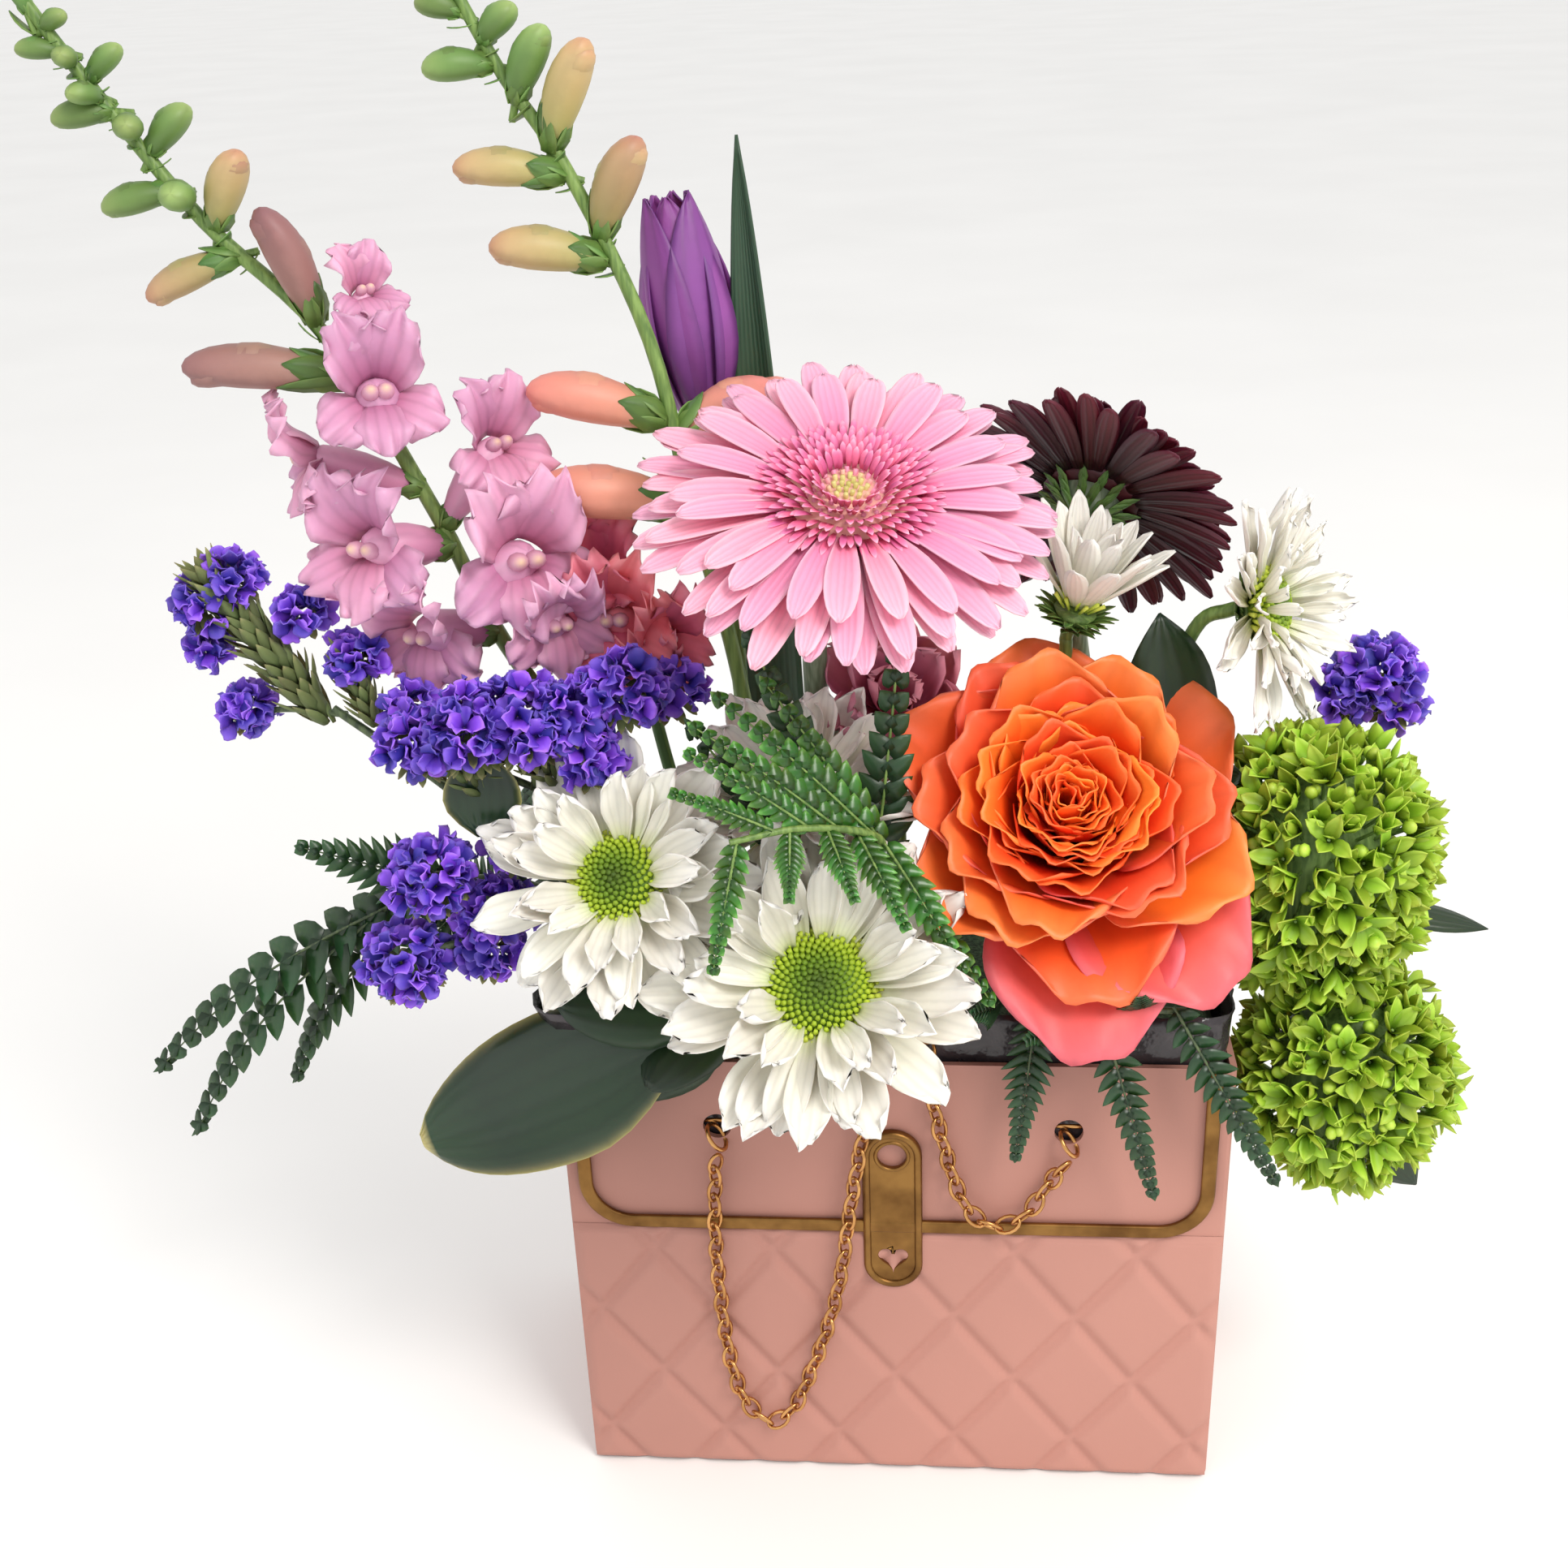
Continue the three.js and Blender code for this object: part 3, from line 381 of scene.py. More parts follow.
def round_wire(routes, sides=2, closed=False):
    """tubes along routes, each a list of (point in metres, radius in millimetres)"""
    curve = bpy.data.curves.new("wire", "CURVE")
    curve.dimensions, curve.bevel_depth, curve.bevel_resolution = "3D", MM, sides
    curve.use_fill_caps = not closed
    for route in routes:
        spline = curve.splines.new("POLY")
        spline.points.add(len(route) - 1)
        for corner, (place, radius) in zip(spline.points, route):
            corner.co, corner.radius = (*place, 1), radius
        spline.use_cyclic_u = closed
    return mesh_of(curve)


def tapered(corners, foot, tip, spans=6):
    route = smooth_route(corners, spans)
    last = len(route) - 1
    return [(place, foot + (tip - foot) * i / last) for i, place in enumerate(route)]


def breadth(v, foot, widest, point):
    """how wide a petal is, as a share of its widest, at a share of its length"""
    if v < widest:
        return foot + (1 - foot) * math.sin(math.pi / 2 * v / widest)
    past = ((v - widest) / (1 - widest)) ** 2
    return 1 + point * past if point < 0 else max(0.02, 1 - past) ** point


class Growth:
    """one piece's mesh, built up from petals, leaves, buds and stalks"""

    def __init__(self):
        self.mesh = bmesh.new()
        self.mesh.loops.layers.uv.new("UVMap")
        self.tone = self.mesh.verts.layers.float.new("tone")
        self.thin = self.mesh.faces.layers.int.new("thin")

    def settle(self, verts, tone, coat, thin):
        for face in {face for vert in verts for face in vert.link_faces}:
            face.material_index, face.smooth, face[self.thin] = coat, True, thin
        for vert in verts:
            vert[self.tone] = tone

    def blade(self, place, length, width, outline=(0.3, 0.6, 0.5), cells=(4, 7), bend=0.0, wrap=0.0,
              keel=0.0, wave=0.0, waves=2.0, frill=0.0, frills=2.0, dome=0.0, curl=0.0, tone=None, coat=0):
        """a petal or leaf in a frame's X and Y: bent toward its face, wrapped across, and ruffled"""
        size = {"x_segments": cells[0], "y_segments": cells[1], "size": 1.0, "calc_uvs": True}
        verts = bmesh.ops.create_grid(self.mesh, **size)["verts"]
        phase = draw.uniform(0, TAU)
        own = draw.uniform(-1, 1)
        bend = bend if abs(bend) > 0.02 else 0.02
        wrap = wrap if abs(wrap) > 0.02 else 0.02
        for vert in verts:
            u, t = vert.co.x, (vert.co.y + 1) / 2
            v = t * (1.5 - 0.5 * t)
            half = width * MM / 2 * breadth(v, *outline)
            lift = half * (1 - math.cos(u * wrap)) / wrap + keel * abs(u) * half
            lift += wave * width * MM * u * u * v * math.sin(waves * TAU * v + phase + u)
            lift += frill * width * MM * v**4 * math.sin(frills * math.pi * u + phase)
            lift -= curl * length * MM * v**6
            turn = bend * v
            run = length * MM / bend * (1 - dome * u * u * v)
            x = half * math.sin(u * wrap) / wrap
            y = run * math.sin(turn) - lift * math.sin(turn)
            z = run * (1 - math.cos(turn)) + lift * math.cos(turn)
            vert.co = place @ Vector((x, y, z))
        self.settle(verts, own if tone is None else tone, coat, 1)

    def bud(self, place, length, radius, hook=0.0, blunt=0.0, tone=None, coat=0, sides=(10, 8)):
        """a closed ovoid from its foot along a frame's Z, its tip carried toward Y"""
        size = {"u_segments": sides[0], "v_segments": sides[1], "radius": 1.0, "calc_uvs": True}
        verts = bmesh.ops.create_uvsphere(self.mesh, **size)["verts"]
        own = draw.uniform(-1, 1)
        for vert in verts:
            t = (vert.co.z + 1) / 2
            girth = radius * MM * (1 + blunt * (t - 0.5))
            side = Vector((vert.co.x * girth, vert.co.y * girth * 0.88, t * length * MM))
            side.y += hook * length * MM * t * t
            vert.co = place @ side
        self.settle(verts, own if tone is None else tone, coat, 0)

    def horn(self, place, length, foot, rim, sides=5, tone=0.0, coat=0):
        """a small tapered tube from a frame's origin along its Z"""
        middle = place @ Matrix.Translation((0, 0, length * MM / 2))
        size = {"radius1": foot * MM, "radius2": rim * MM, "depth": length * MM, "segments": sides}
        caps = {"cap_ends": True, "cap_tris": False, "matrix": middle}
        verts = bmesh.ops.create_cone(self.mesh, **size, **caps)["verts"]
        self.settle(verts, tone, coat, 0)

    def stalks(self, routes, sides=2, coat=0):
        before = len(self.mesh.faces)
        wire = round_wire(routes, sides)
        self.mesh.from_mesh(wire)
        bpy.data.meshes.remove(wire)
        self.mesh.faces.ensure_lookup_table()
        for face in self.mesh.faces[before:]:
            face.material_index, face.smooth = coat, True

    def ring(self, bloom, count, radius, height, lift, length, width, jitter=0.08, offset=0.0, loose=0.0,
             bend=0.0, **blade):
        for i in range(count):
            angle = TAU * (i + offset) / count + draw.uniform(-jitter, jitter)
            tip = lift + draw.gauss(0, jitter * 0.8)
            place = around(bloom, angle, radius, height + draw.uniform(-0.4, 0.4), tip)
            own = {"bend": bend + draw.gauss(0, loose), **blade}
            self.blade(place, length * draw.uniform(0.92, 1.06), width * draw.uniform(0.92, 1.08), **own)

    def place(self, name, nodes, slot, finishes, thickness=0.35):
        self.mesh.normal_update()
        thin = [face for face in self.mesh.faces if face[self.thin]]
        if thin:
            made = bmesh.ops.extrude_face_region(self.mesh, geom=thin, use_keep_orig=True)["geom"]
            self.mesh.normal_update()
            raised = [(item, item.normal.copy()) for item in made if isinstance(item, bmesh.types.BMVert)]
            for vert, out in raised:
                vert.co += out * thickness * MM
            bmesh.ops.recalc_face_normals(self.mesh, faces=self.mesh.faces[:])
        mesh = finished_mesh(name, self.mesh)
        return show(name, mesh, nodes, finishes)


# ---- chain strap -------------------------------------------------------------------------------

CHAIN_ROUTE = [
    (-55, -57, 133), (-56, -55, 122), (-57, -55, 104), (-57, -54, 82), (-56, -54, 62),
    (-54, -54, 44), (-50, -54, 30), (-42, -54, 22), (-34, -54, 29), (-28, -54, 44),
    (-23, -55, 60), (-19, -56, 76), (-16, -56, 92), (-14, -56, 108), (-11, -56, 128),
    (-8, -56, 146), (-6, -55, 160), (-4, -51, 169), (-1, -45, 172), (4, -42, 173),
    (9, -45, 172), (12, -51, 169), (13, -55, 160), (14, -54, 148), (17, -54, 134),
    (20, -54, 122), (25, -55, 112), (33, -55, 107), (42, -55, 112), (49, -54, 123),
    (54, -57, 133),
]


def oval(half_length, half_width, wire, steps=14):
    """a closed oval ring in X and Z"""
    corners = [TAU * i / steps for i in range(steps)]
    route = [(mm((half_width * math.cos(a), 0, half_length * math.sin(a))), wire) for a in corners]
    return round_wire([route], sides=1, closed=True)


def chain_strap():
    route = smooth_route(CHAIN_ROUTE, 12)
    count = round(route_length(route) / (LINK["pitch"] * MM))
    step = route_length(route) / count
    ring = oval(LINK["half_length"], LINK["half_width"], LINK["wire"])
    mesh = bmesh.new()
    travelled, target, side = 0.0, step / 2, Vector((0, -1, 0))
    for a, b in zip(route, route[1:]):
        span = (b - a).length
        while target <= travelled + span:
            place = a.lerp(b, (target - travelled) / span)
            number = round(target / step - 0.5)
            frame_here = aim(place, b - a, side)
            side = frame_here.to_3x3() @ Vector((0, 1, 0))
            twist = LINK["twist"] if number % 2 else -LINK["twist"]
            before = len(mesh.verts)
            mesh.from_mesh(ring)
            mesh.verts.ensure_lookup_table()
            turn = frame_here @ Matrix.Rotation(twist, 4, "Z")
            bmesh.ops.transform(mesh, matrix=turn, verts=mesh.verts[before:])
            target += step
        travelled += span
    for face in mesh.faces:
        face.smooth = True
    made = finished_mesh("chain", mesh)
    piece = show("curb_chain", made, ["chain_strap"], [CHAIN_GOLD])


chain_strap()


# ---- box and its fittings ----------------------------------------------------------------------


def quilt_relief(x, z):
    """how far the embossed front stands out at a place, in millimetres"""
    rise = (z - QUILT["crossing_z"]) / QUILT["slope"]
    apart = [abs((line / QUILT["width"] + 0.5) % 1 - 0.5) * QUILT["width"] for line in (x + rise, x - rise)]
    pillow = 1 - math.exp(-((min(apart) / (QUILT["groove"] / 2)) ** 2))
    border = min(1.0, (BOX["width"] / 2 - abs(x)) / 3, z / 3, (QUILT["top"] - z) / 2)
    return QUILT["relief"] * pillow * max(0.0, border)


def drill(piece, cutters):
    """cuts round holes through the board for the chain's links"""
    for cutter in cutters:
        change = piece.modifiers.new("hole", "BOOLEAN")
        change.operation, change.object, change.solver = "DIFFERENCE", cutter, "EXACT"
    bpy.context.view_layer.update()
    whole = piece.evaluated_get(bpy.context.evaluated_depsgraph_get())
    mesh = bpy.data.meshes.new_from_object(whole)
    piece.modifiers.clear()
    piece.data = mesh
    for cutter in cutters:
        bpy.data.objects.remove(cutter)


def box_shell():
    width, depth, height = BOX["width"], BOX["depth"], BOX["height"]
    shell = bmesh.new()
    size = Matrix.Diagonal((width * MM, depth * MM, height * MM, 1))
    bmesh.ops.create_cube(shell, size=1, matrix=Matrix.Translation((0, 0, height * MM / 2)) @ size)
    top = [face for face in shell.faces if face.normal.z > 0.5]
    bmesh.ops.delete(shell, geom=top, context="FACES_ONLY")
    folds = [edge for edge in shell.edges if len(edge.link_faces) == 2]
    bmesh.ops.bevel(shell, geom=folds, offset=BOX["corner"] * MM, offset_type="OFFSET", segments=3,
                    profile=0.5, affect="EDGES", material=-1)
    shell.normal_update()
    bmesh.ops.solidify(shell, geom=shell.faces[:], thickness=BOX["board"] * MM)
    bmesh.ops.recalc_face_normals(shell, faces=shell.faces[:])
    mesh = finished_mesh("box_shell", shell)
    piece = show("handbag_box", mesh, ["flower_box"], [BOARD])
    cutters = []
    for side in (-1, 1):
        hole = bmesh.new()
        turn = Matrix.Translation(mm((side * HOLE["x"], FRONT, HOLE["z"]))) @ Matrix.Rotation(TAU / 4, 4,
                                                                                              "X")
        radius = HOLE["radius"] * MM
        bmesh.ops.create_cone(hole, segments=32, radius1=radius, radius2=radius, depth=8 * MM, matrix=turn,
                              cap_ends=True)
        cutter_mesh = finished_mesh("hole", hole)
        cutter = bpy.data.objects.new("hole", cutter_mesh)
        bpy.context.collection.objects.link(cutter)
        cutters.append(cutter)
    drill(piece, cutters)


def quilted_front():
    panel = bmesh.new()
    made = bmesh.ops.create_grid(panel, x_segments=150, y_segments=96, size=1.0)["verts"]
    for vert in made:
        x = vert.co.x * (BOX["width"] / 2 - QUILT["margin"])
        z = QUILT["foot"] + (vert.co.y + 1) / 2 * (QUILT["top"] - QUILT["foot"])
        vert.co = mm((x, FRONT - QUILT["backing"] - quilt_relief(x, z), z))
    for face in panel.faces:
        face.smooth = True
    panel.normal_update()
    panel.faces.ensure_lookup_table()
    if panel.faces[0].normal.y > 0:
        bmesh.ops.reverse_faces(panel, faces=panel.faces[:])
    mesh = finished_mesh("quilted_front", panel)
    show("quilted_front", mesh, [], [BOARD])


def arc(x, z, radius, start, stop, steps=10):
    angles = [start + (stop - start) * i / steps for i in range(steps + 1)]
    return [(x + radius * math.cos(a), z + radius * math.sin(a)) for a in angles]


def plate(loops, thickness, edge):
    """a flat plate with rounded edges on the box's front, from closed outlines in x and height"""
    curve = bpy.data.curves.new("plate", "CURVE")
    curve.dimensions, curve.fill_mode = "2D", "BOTH"
    curve.extrude, curve.bevel_depth = (thickness / 2 - edge) * MM, edge * MM
    curve.bevel_resolution, curve.offset = 3, -edge * MM
    for loop in loops:
        spline = curve.splines.new("POLY")
        spline.points.add(len(loop) - 1)
        for corner, (x, z) in zip(spline.points, loop):
            corner.co = (x * MM, z * MM, 0, 1)
        spline.use_cyclic_u = True
    mesh = mesh_of(curve)
    stand = Matrix.Rotation(TAU / 4, 4, "X")
    mesh.transform(Matrix.Translation(mm((0, FRONT - GAP - thickness / 2, 0))) @ stand)
    return mesh


def joined(name, meshes, nodes, finishes):
    whole = bmesh.new()
    for mesh in meshes:
        whole.from_mesh(mesh)
    for face in whole.faces:
        face.smooth = True
    bmesh.ops.remove_doubles(whole, verts=whole.verts[:], dist=1e-6)
    bmesh.ops.recalc_face_normals(whole, faces=whole.faces[:])
    mesh = finished_mesh(name, whole)
    return show(name, mesh, nodes, finishes)


def frame_bar():
    half, corner, band = BAR["half_width"], BAR["corner"], BAR["band"]
    top = BOX["height"] - 0.5
    x, z = half - corner, BAR["bottom"] + corner
    outer, inner = corner + band / 2, corner - band / 2
    left = arc(-half, top - band / 2, band / 2, 0, math.pi, 8)
    low_left = arc(-x, z, outer, math.pi, 1.5 * math.pi)
    low_right = arc(x, z, outer, 1.5 * math.pi, TAU)
    right = arc(half, top - band / 2, band / 2, 0, math.pi, 8)
    back_right = arc(x, z, inner, TAU, 1.5 * math.pi)
    back_left = arc(-x, z, inner, 1.5 * math.pi, math.pi)
    loop = [*left, *low_left, *low_right, *right, *back_right, *back_left]
    joined("gold_bar", [plate([loop], BAR["thickness"], 0.9)], ["gold_frame_bar"], [GOLD])


def heart_loop(size, z, steps=36):
    loop = []
    for i in range(steps):
        a = TAU * i / steps
        wide = 16 * math.sin(a) ** 3
        tall = 13 * math.cos(a) - 5 * math.cos(2 * a) - 2 * math.cos(3 * a) - math.cos(4 * a)
        loop.append((wide * size / 32, z + tall * size / 32))
    return loop


def clasp():
    end, reach = CLASP["width"] / 2, CLASP["height"] / 2 - CLASP["width"] / 2
    z = CLASP["z"]

    def pill(inset):
        return [*arc(0, z + reach, end - inset, 0, math.pi, 16),
                *arc(0, z - reach, end - inset, math.pi, TAU, 16)]

    steps = 24
    last = TAU * (steps - 1) / steps
    hole = arc(0, CLASP_HOLE["z"], CLASP_HOLE["radius"], 0, last, steps - 1)
    eyelet = arc(0, CLASP_HOLE["z"], CLASP_HOLE["eyelet"], 0, last, steps - 1)
    heart = heart_loop(CLASP_HEART["width"], CLASP_HEART["z"])
    front = FRONT - GAP - CLASP["thickness"]

    def rolled(loop, radius):
        route = [(mm((x, front + 0.3, height)), radius) for x, height in loop]
        return round_wire([route], sides=3, closed=True)

    parts = [plate([pill(0), hole, heart], CLASP["thickness"], CLASP["edge"]),
             rolled(pill(CLASP["rim"]), CLASP["rim"]), rolled(eyelet, CLASP_HOLE["wire"])]
    joined("clasp", parts, ["clasp_plate"], [GOLD])


def chain_ends():
    for side, x in (("left", -HOLE["x"]), ("right", HOLE["x"])):
        ring = oval(END_RING["half_length"], END_RING["half_width"], END_RING["wire"], 18)
        turn = Matrix.Rotation(TAU / 4 * END_RING["turn"], 4, "Z")
        tip = Matrix.Rotation(-END_RING["tip"], 4, "X")
        at = mm((x, FRONT - END_RING["out"], HOLE["z"] - END_RING["drop"]))
        ring.transform(Matrix.Translation(at) @ turn @ tip)
        joined(f"end_ring_{side}", [ring], [f"chain_link_{side}"], [CHAIN_GOLD])
        half, taper, thick = STOP_BAR["half_length"], STOP_BAR["taper"], STOP_BAR["radius"]
        behind = FRONT + BOX["board"] + GAP + thick
        route = [(mm((x + along, behind, HOLE["z"])), radius)
                 for along, radius in ((-half, taper), (taper - half, thick), (half - taper, thick),
                                       (half, taper))]
        joined(f"end_bar_{side}", [round_wire([route], 3)], [f"chain_stop_bar_{side}"],
               [CHAIN_GOLD])


def film_liner():
    half_width, half_depth = BOX["width"] / 2 - LINER["clearance"], BOX["depth"] / 2 - LINER["clearance"]
    corner, foot, top = LINER["corner"], LINER["foot"], LINER["top"]
    film = bmesh.new()
    verts = bmesh.ops.create_grid(film, x_segments=240, y_segments=26, size=1.0)["verts"]
    straight = [2 * (half_width - corner), 2 * (half_depth - corner)] * 2
    bend = corner * math.pi / 2
    total = sum(straight) + 4 * bend
    starts = [(-half_width + corner, -half_depth, 0), (half_width, -half_depth + corner, TAU / 4),
              (half_width - corner, half_depth, TAU / 2), (-half_width, half_depth - corner, TAU * 0.75)]
    for vert in verts:
        gone = (vert.co.x + 1) / 2 * total
        for (x, y, heading), run in zip(starts, straight):
            ahead, out = Vector((math.cos(heading), math.sin(heading))), None
            if gone <= run:
                place = Vector((x, y)) + ahead * gone
                out = Vector((ahead.y, -ahead.x))
                break
            if gone <= run + bend:
                turn = (gone - run) / corner
                inward = Vector((-ahead.y, ahead.x))
                middle = Vector((x, y)) + ahead * run + inward * corner
                out = Vector((math.sin(heading + turn), -math.cos(heading + turn)))
                place = middle + out * corner
                break
            gone -= run + bend
        else:
            place, out = Vector(starts[0][:2]), Vector((0, -1))
        level = (vert.co.y + 1) / 2
        height = foot + (top - foot) * level**0.6
        above = max(0.0, (height - BOX["height"] + 2) / (top - BOX["height"]))
        crumple = noise.noise(Vector((place.x * 0.09, place.y * 0.09, height * 0.12)))
        fine = noise.noise(Vector((place.x * 0.35, place.y * 0.35, height * 0.3)))
        spread = above * (2.2 + 3.2 * crumple + 1.4 * fine) - 0.3
        loose = max(0.0, 1 - (place - Vector((-half_width, -half_depth))).length / 16)
        spread += 9 * loose * above
        height += above * (3 * crumple + 3 * loose)
        vert.co = mm((place.x + out.x * spread, place.y + out.y * spread, height))
    bmesh.ops.remove_doubles(film, verts=film.verts[:], dist=0.3 * MM)
    rim = [edge for edge in film.edges if len(edge.link_faces) == 1 and edge.verts[0].co.z < 0.01]
    bmesh.ops.holes_fill(film, edges=rim)
    for face in film.faces:
        face.smooth = True
    bmesh.ops.recalc_face_normals(film, faces=film.faces[:])
    bmesh.ops.solidify(film, geom=film.faces[:], thickness=LINER["film"] * MM)
    mesh = finished_mesh("film_liner", film)
    show("film_liner", mesh, ["plastic_liner"], [FILM])


def foam_block():
    block = bmesh.new()
    low, high = (Vector(corner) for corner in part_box("floral_foam"))
    size, middle = high - low, (low + high) / 2
    fit = Matrix.Translation(middle) @ Matrix.Diagonal((size.x, size.y, size.z, 1))
    bmesh.ops.create_cube(block, size=1, matrix=fit)
    top = [edge for edge in block.edges if all(vert.co.z > middle.z for vert in edge.verts)]
    bmesh.ops.bevel(block, geom=top, offset=FOAM_BLOCK["edge"] * MM, offset_type="OFFSET", segments=3,
                    profile=0.5,
                    affect="EDGES", material=-1)
    bmesh.ops.triangulate(block, faces=block.faces[:])
    for _ in range(4):
        long = [edge for edge in block.edges if edge.calc_length() > FOAM_BLOCK["cell"] * MM]
        bmesh.ops.subdivide_edges(block, edges=long, cuts=1)
    bmesh.ops.triangulate(block, faces=block.faces[:])
    for vert in block.verts:
        dent = noise.noise(vert.co * 120) * FOAM_BLOCK["dent"] * MM - 0.7 * MM
        if vert.co.z > middle.z:
            vert.co.z += dent
    mesh = finished_mesh("foam_block", block)
    show("foam_block", mesh, ["floral_foam"], [FOAM])


box_shell()
quilted_front()
frame_bar()
clasp()
chain_ends()
film_liner()
foam_block()


# ---- daisy-shaped flowers ----------------------------------------------------------------------


def daisy_stalk(name, at, facing, route, radius, cup, finish):
    stalk = Growth()
    bloom = aim(mm(at), facing)
    neck = [tuple(c / MM for c in bloom @ mm((0, 0, depth))) for depth in (-12, -4)]
    stalk.stalks([tapered([*route, *neck], radius, radius)], sides=3)
    cup_place = bloom @ Matrix.Translation(mm((0, 0, -9)))
    stalk.horn(cup_place, 6.5, cup * 0.35, cup * 0.95, sides=14)
    for row in range(3):
        stalk.ring(bloom, 14, cup * (0.45 + 0.2 * row), -8.5 + 2 * row, 0.55, 8, 3.2,
                   outline=(0.6, 0.3, 1.0),
                   cells=(2, 3), bend=-0.3, wrap=0.6, coat=1)
    stalk.place(f"{name}_stalk", [f"{name}_stem"], "stem", [finish, SEPAL])


def dome_of_florets(disc, bloom, radius, dome, count, length, width, coat=0, first=0):
    for i in range(first, count):
        out = math.sqrt((i + 0.5) / count)
        angle = i * GOLDEN_TURN
        place = bloom @ Matrix.Rotation(angle, 4, "Z") @ Matrix.Translation(
            mm((0, out * radius, dome * (1 - out * out) - length * 0.4))
        )
        lean = Matrix.Rotation(-0.75 * out, 4, "X")
        tall = length * (0.75 + 0.5 * out)
        disc.horn(place @ lean, tall, width * 0.6, width, tone=out, coat=coat)


def gerbera(name, at, facing, colours, reach, rays):
    """two long rings of rays, a short one, a fluffy ring of small florets and an eye"""
    bloom = aim(mm(at), facing)
    ray, tuft, eye = colours
    petals = Growth()
    base = reach * 0.3
    for count, height, lift, length, bend in (
        (rays, -1.0, -0.02, reach - base, -0.22),
        (rays - 2, 0.3, 0.08, (reach - base) * 0.94, -0.26),
        (rays - 6, 1.6, 0.2, (reach - base) * 0.78, -0.3),
    ):
        petals.ring(bloom, count, base, height, lift, length, reach * 0.165, jitter=0.05,
                    offset=draw.random(), outline=(0.45, 0.6, 0.42), cells=(4, 9), bend=bend, wrap=0.45,
                    frill=0.03)
    petals.place(f"{name}_rays", [f"{name}_petals"], ray[1], [ray[0]], 0.4)
    heart = Growth()
    heart.bud(bloom @ Matrix.Translation(mm((0, 0, -3))), 7, reach * 0.36, sides=(24, 6), tone=0.5, coat=1)
    for row in range(6):
        out = reach * (0.385 - 0.045 * row)
        heart.ring(bloom, 52 - 5 * row, out * 0.82, 2 + 0.5 * row, 0.45 + 0.17 * row, 8.6 - 0.5 * row, 2.2,
                   jitter=0.05,
                   offset=0.5 * row, outline=(0.5, 0.6, 0.5), cells=(2, 4), bend=-0.5, wrap=0.6)
    dome_of_florets(heart, bloom, reach * 0.15, 3.5, 90, 5, 0.8, coat=1)
    heart.place(f"{name}_heart", [f"{name}_disc"], "green_disc", [tuft, eye], 0.2)


def mum(name, at, facing, reach, disc_radius, width, layers=3, dome=5):
    """layers of spoon-shaped rays round a domed disc of small tubes"""
    bloom = aim(mm(at), facing)
    petals = Growth()
    base = disc_radius * 0.82
    for layer in range(layers):
        lift = 0.1 + 0.27 * layer
        length = (reach - base) * (1.06 - 0.17 * layer)
        petals.ring(bloom, 16 - 2 * layer, base, -1.5 + 1.6 * layer, lift, length,
                    width * (1 - 0.08 * layer),
                    jitter=0.2, offset=0.5 * layer, loose=0.35, outline=(0.36, 0.68, 0.24), cells=(6, 10),
                    bend=0.1, wrap=0.95 + 0.2 * layer, wave=0.07, frill=0.09, frills=1.6, dome=0.12)
    petals.place(f"{name}_rays", [f"{name}_petals"], "white_petal", [WHITE_RAY], 0.45)
    disc = Growth()
    disc.bud(bloom @ Matrix.Translation(mm((0, 0, -4))), 4 + dome, disc_radius * 0.98, sides=(20, 6),
             tone=0.3)
    count = int(disc_radius * disc_radius * 1.15) + 40
    dome_of_florets(disc, bloom, disc_radius, dome, count, 3.4, 0.85)
    disc.place(f"{name}_button", [f"{name}_disc"], "green_disc", [DISC])


DAISY_STALKS = {
    "gerbera_pink": ((-10, -35, 339), (0.1, -0.45, 0.88),
                     [(-22, 4, 136), (-22, 4, 180), (-23, 2, 250), (-22, -6, 298)], 3.8, 13, GREY_STALK),
    "gerbera_maroon": ((61, 30, 319), (0.35, 0.77, 0.54),
                       [(66, 26, 136), (65, 26, 180), (60, 22, 260), (54, 16, 298)], 3.2, 12, GREY_STALK),
    "mum_front": ((-19, -75, 207), (0.05, -0.72, 0.69),
                  [(-18, -12, 136), (-18, -20, 160), (-18, -40, 184)], 2.3, 9, STALK),
    "mum_left": ((-78, -58, 232), (-0.15, -0.78, 0.6),
                 [(-62, -16, 136), (-64, -22, 170), (-72, -36, 208)], 2.3, 9, STALK),
    "mum_middle": ((-27, -30, 242), (-0.1, -0.5, 0.86),
                   [(-36, -8, 136), (-35, -9, 170), (-29, -18, 215)], 2.3, 9, STALK),
    "mum_small": ((56, -1, 296), (0.25, -0.15, 0.95),
                  [(52, 6, 136), (52, 7, 180), (52, 6, 250), (53, 1, 280)], 2, 7, STALK),
    "mum_right": ((111, -2, 295), (0.82, -0.5, 0.28),
                  [(72, 14, 136), (74, 14, 180), (82, 10, 250), (92, 8, 284)], 2.2, 8, STALK),
}


def daisies():
    for name, (at, facing, route, radius, cup, finish) in DAISY_STALKS.items():
        daisy_stalk(name, at, facing, route, radius, cup, finish)
    where = {name: (given[0], given[1]) for name, given in DAISY_STALKS.items()}
    gerbera("gerbera_pink", *where["gerbera_pink"],
            ((PINK_RAY, "pink_petal"), PINK_TUFT, PINK_EYE), 60, 27)
    gerbera("gerbera_maroon", *where["gerbera_maroon"],
            ((MAROON_RAY, "maroon_petal"), MAROON_RAY, MAROON_RAY), 48, 26)
    mum("mum_front", *where["mum_front"], 49, 16, 17)
    mum("mum_left", *where["mum_left"], 43, 13, 16)
    mum("mum_middle", *where["mum_middle"], 42, 13, 15)
    mum("mum_right", *where["mum_right"], 38, 10, 9, layers=4)
    small_mum(*where["mum_small"])


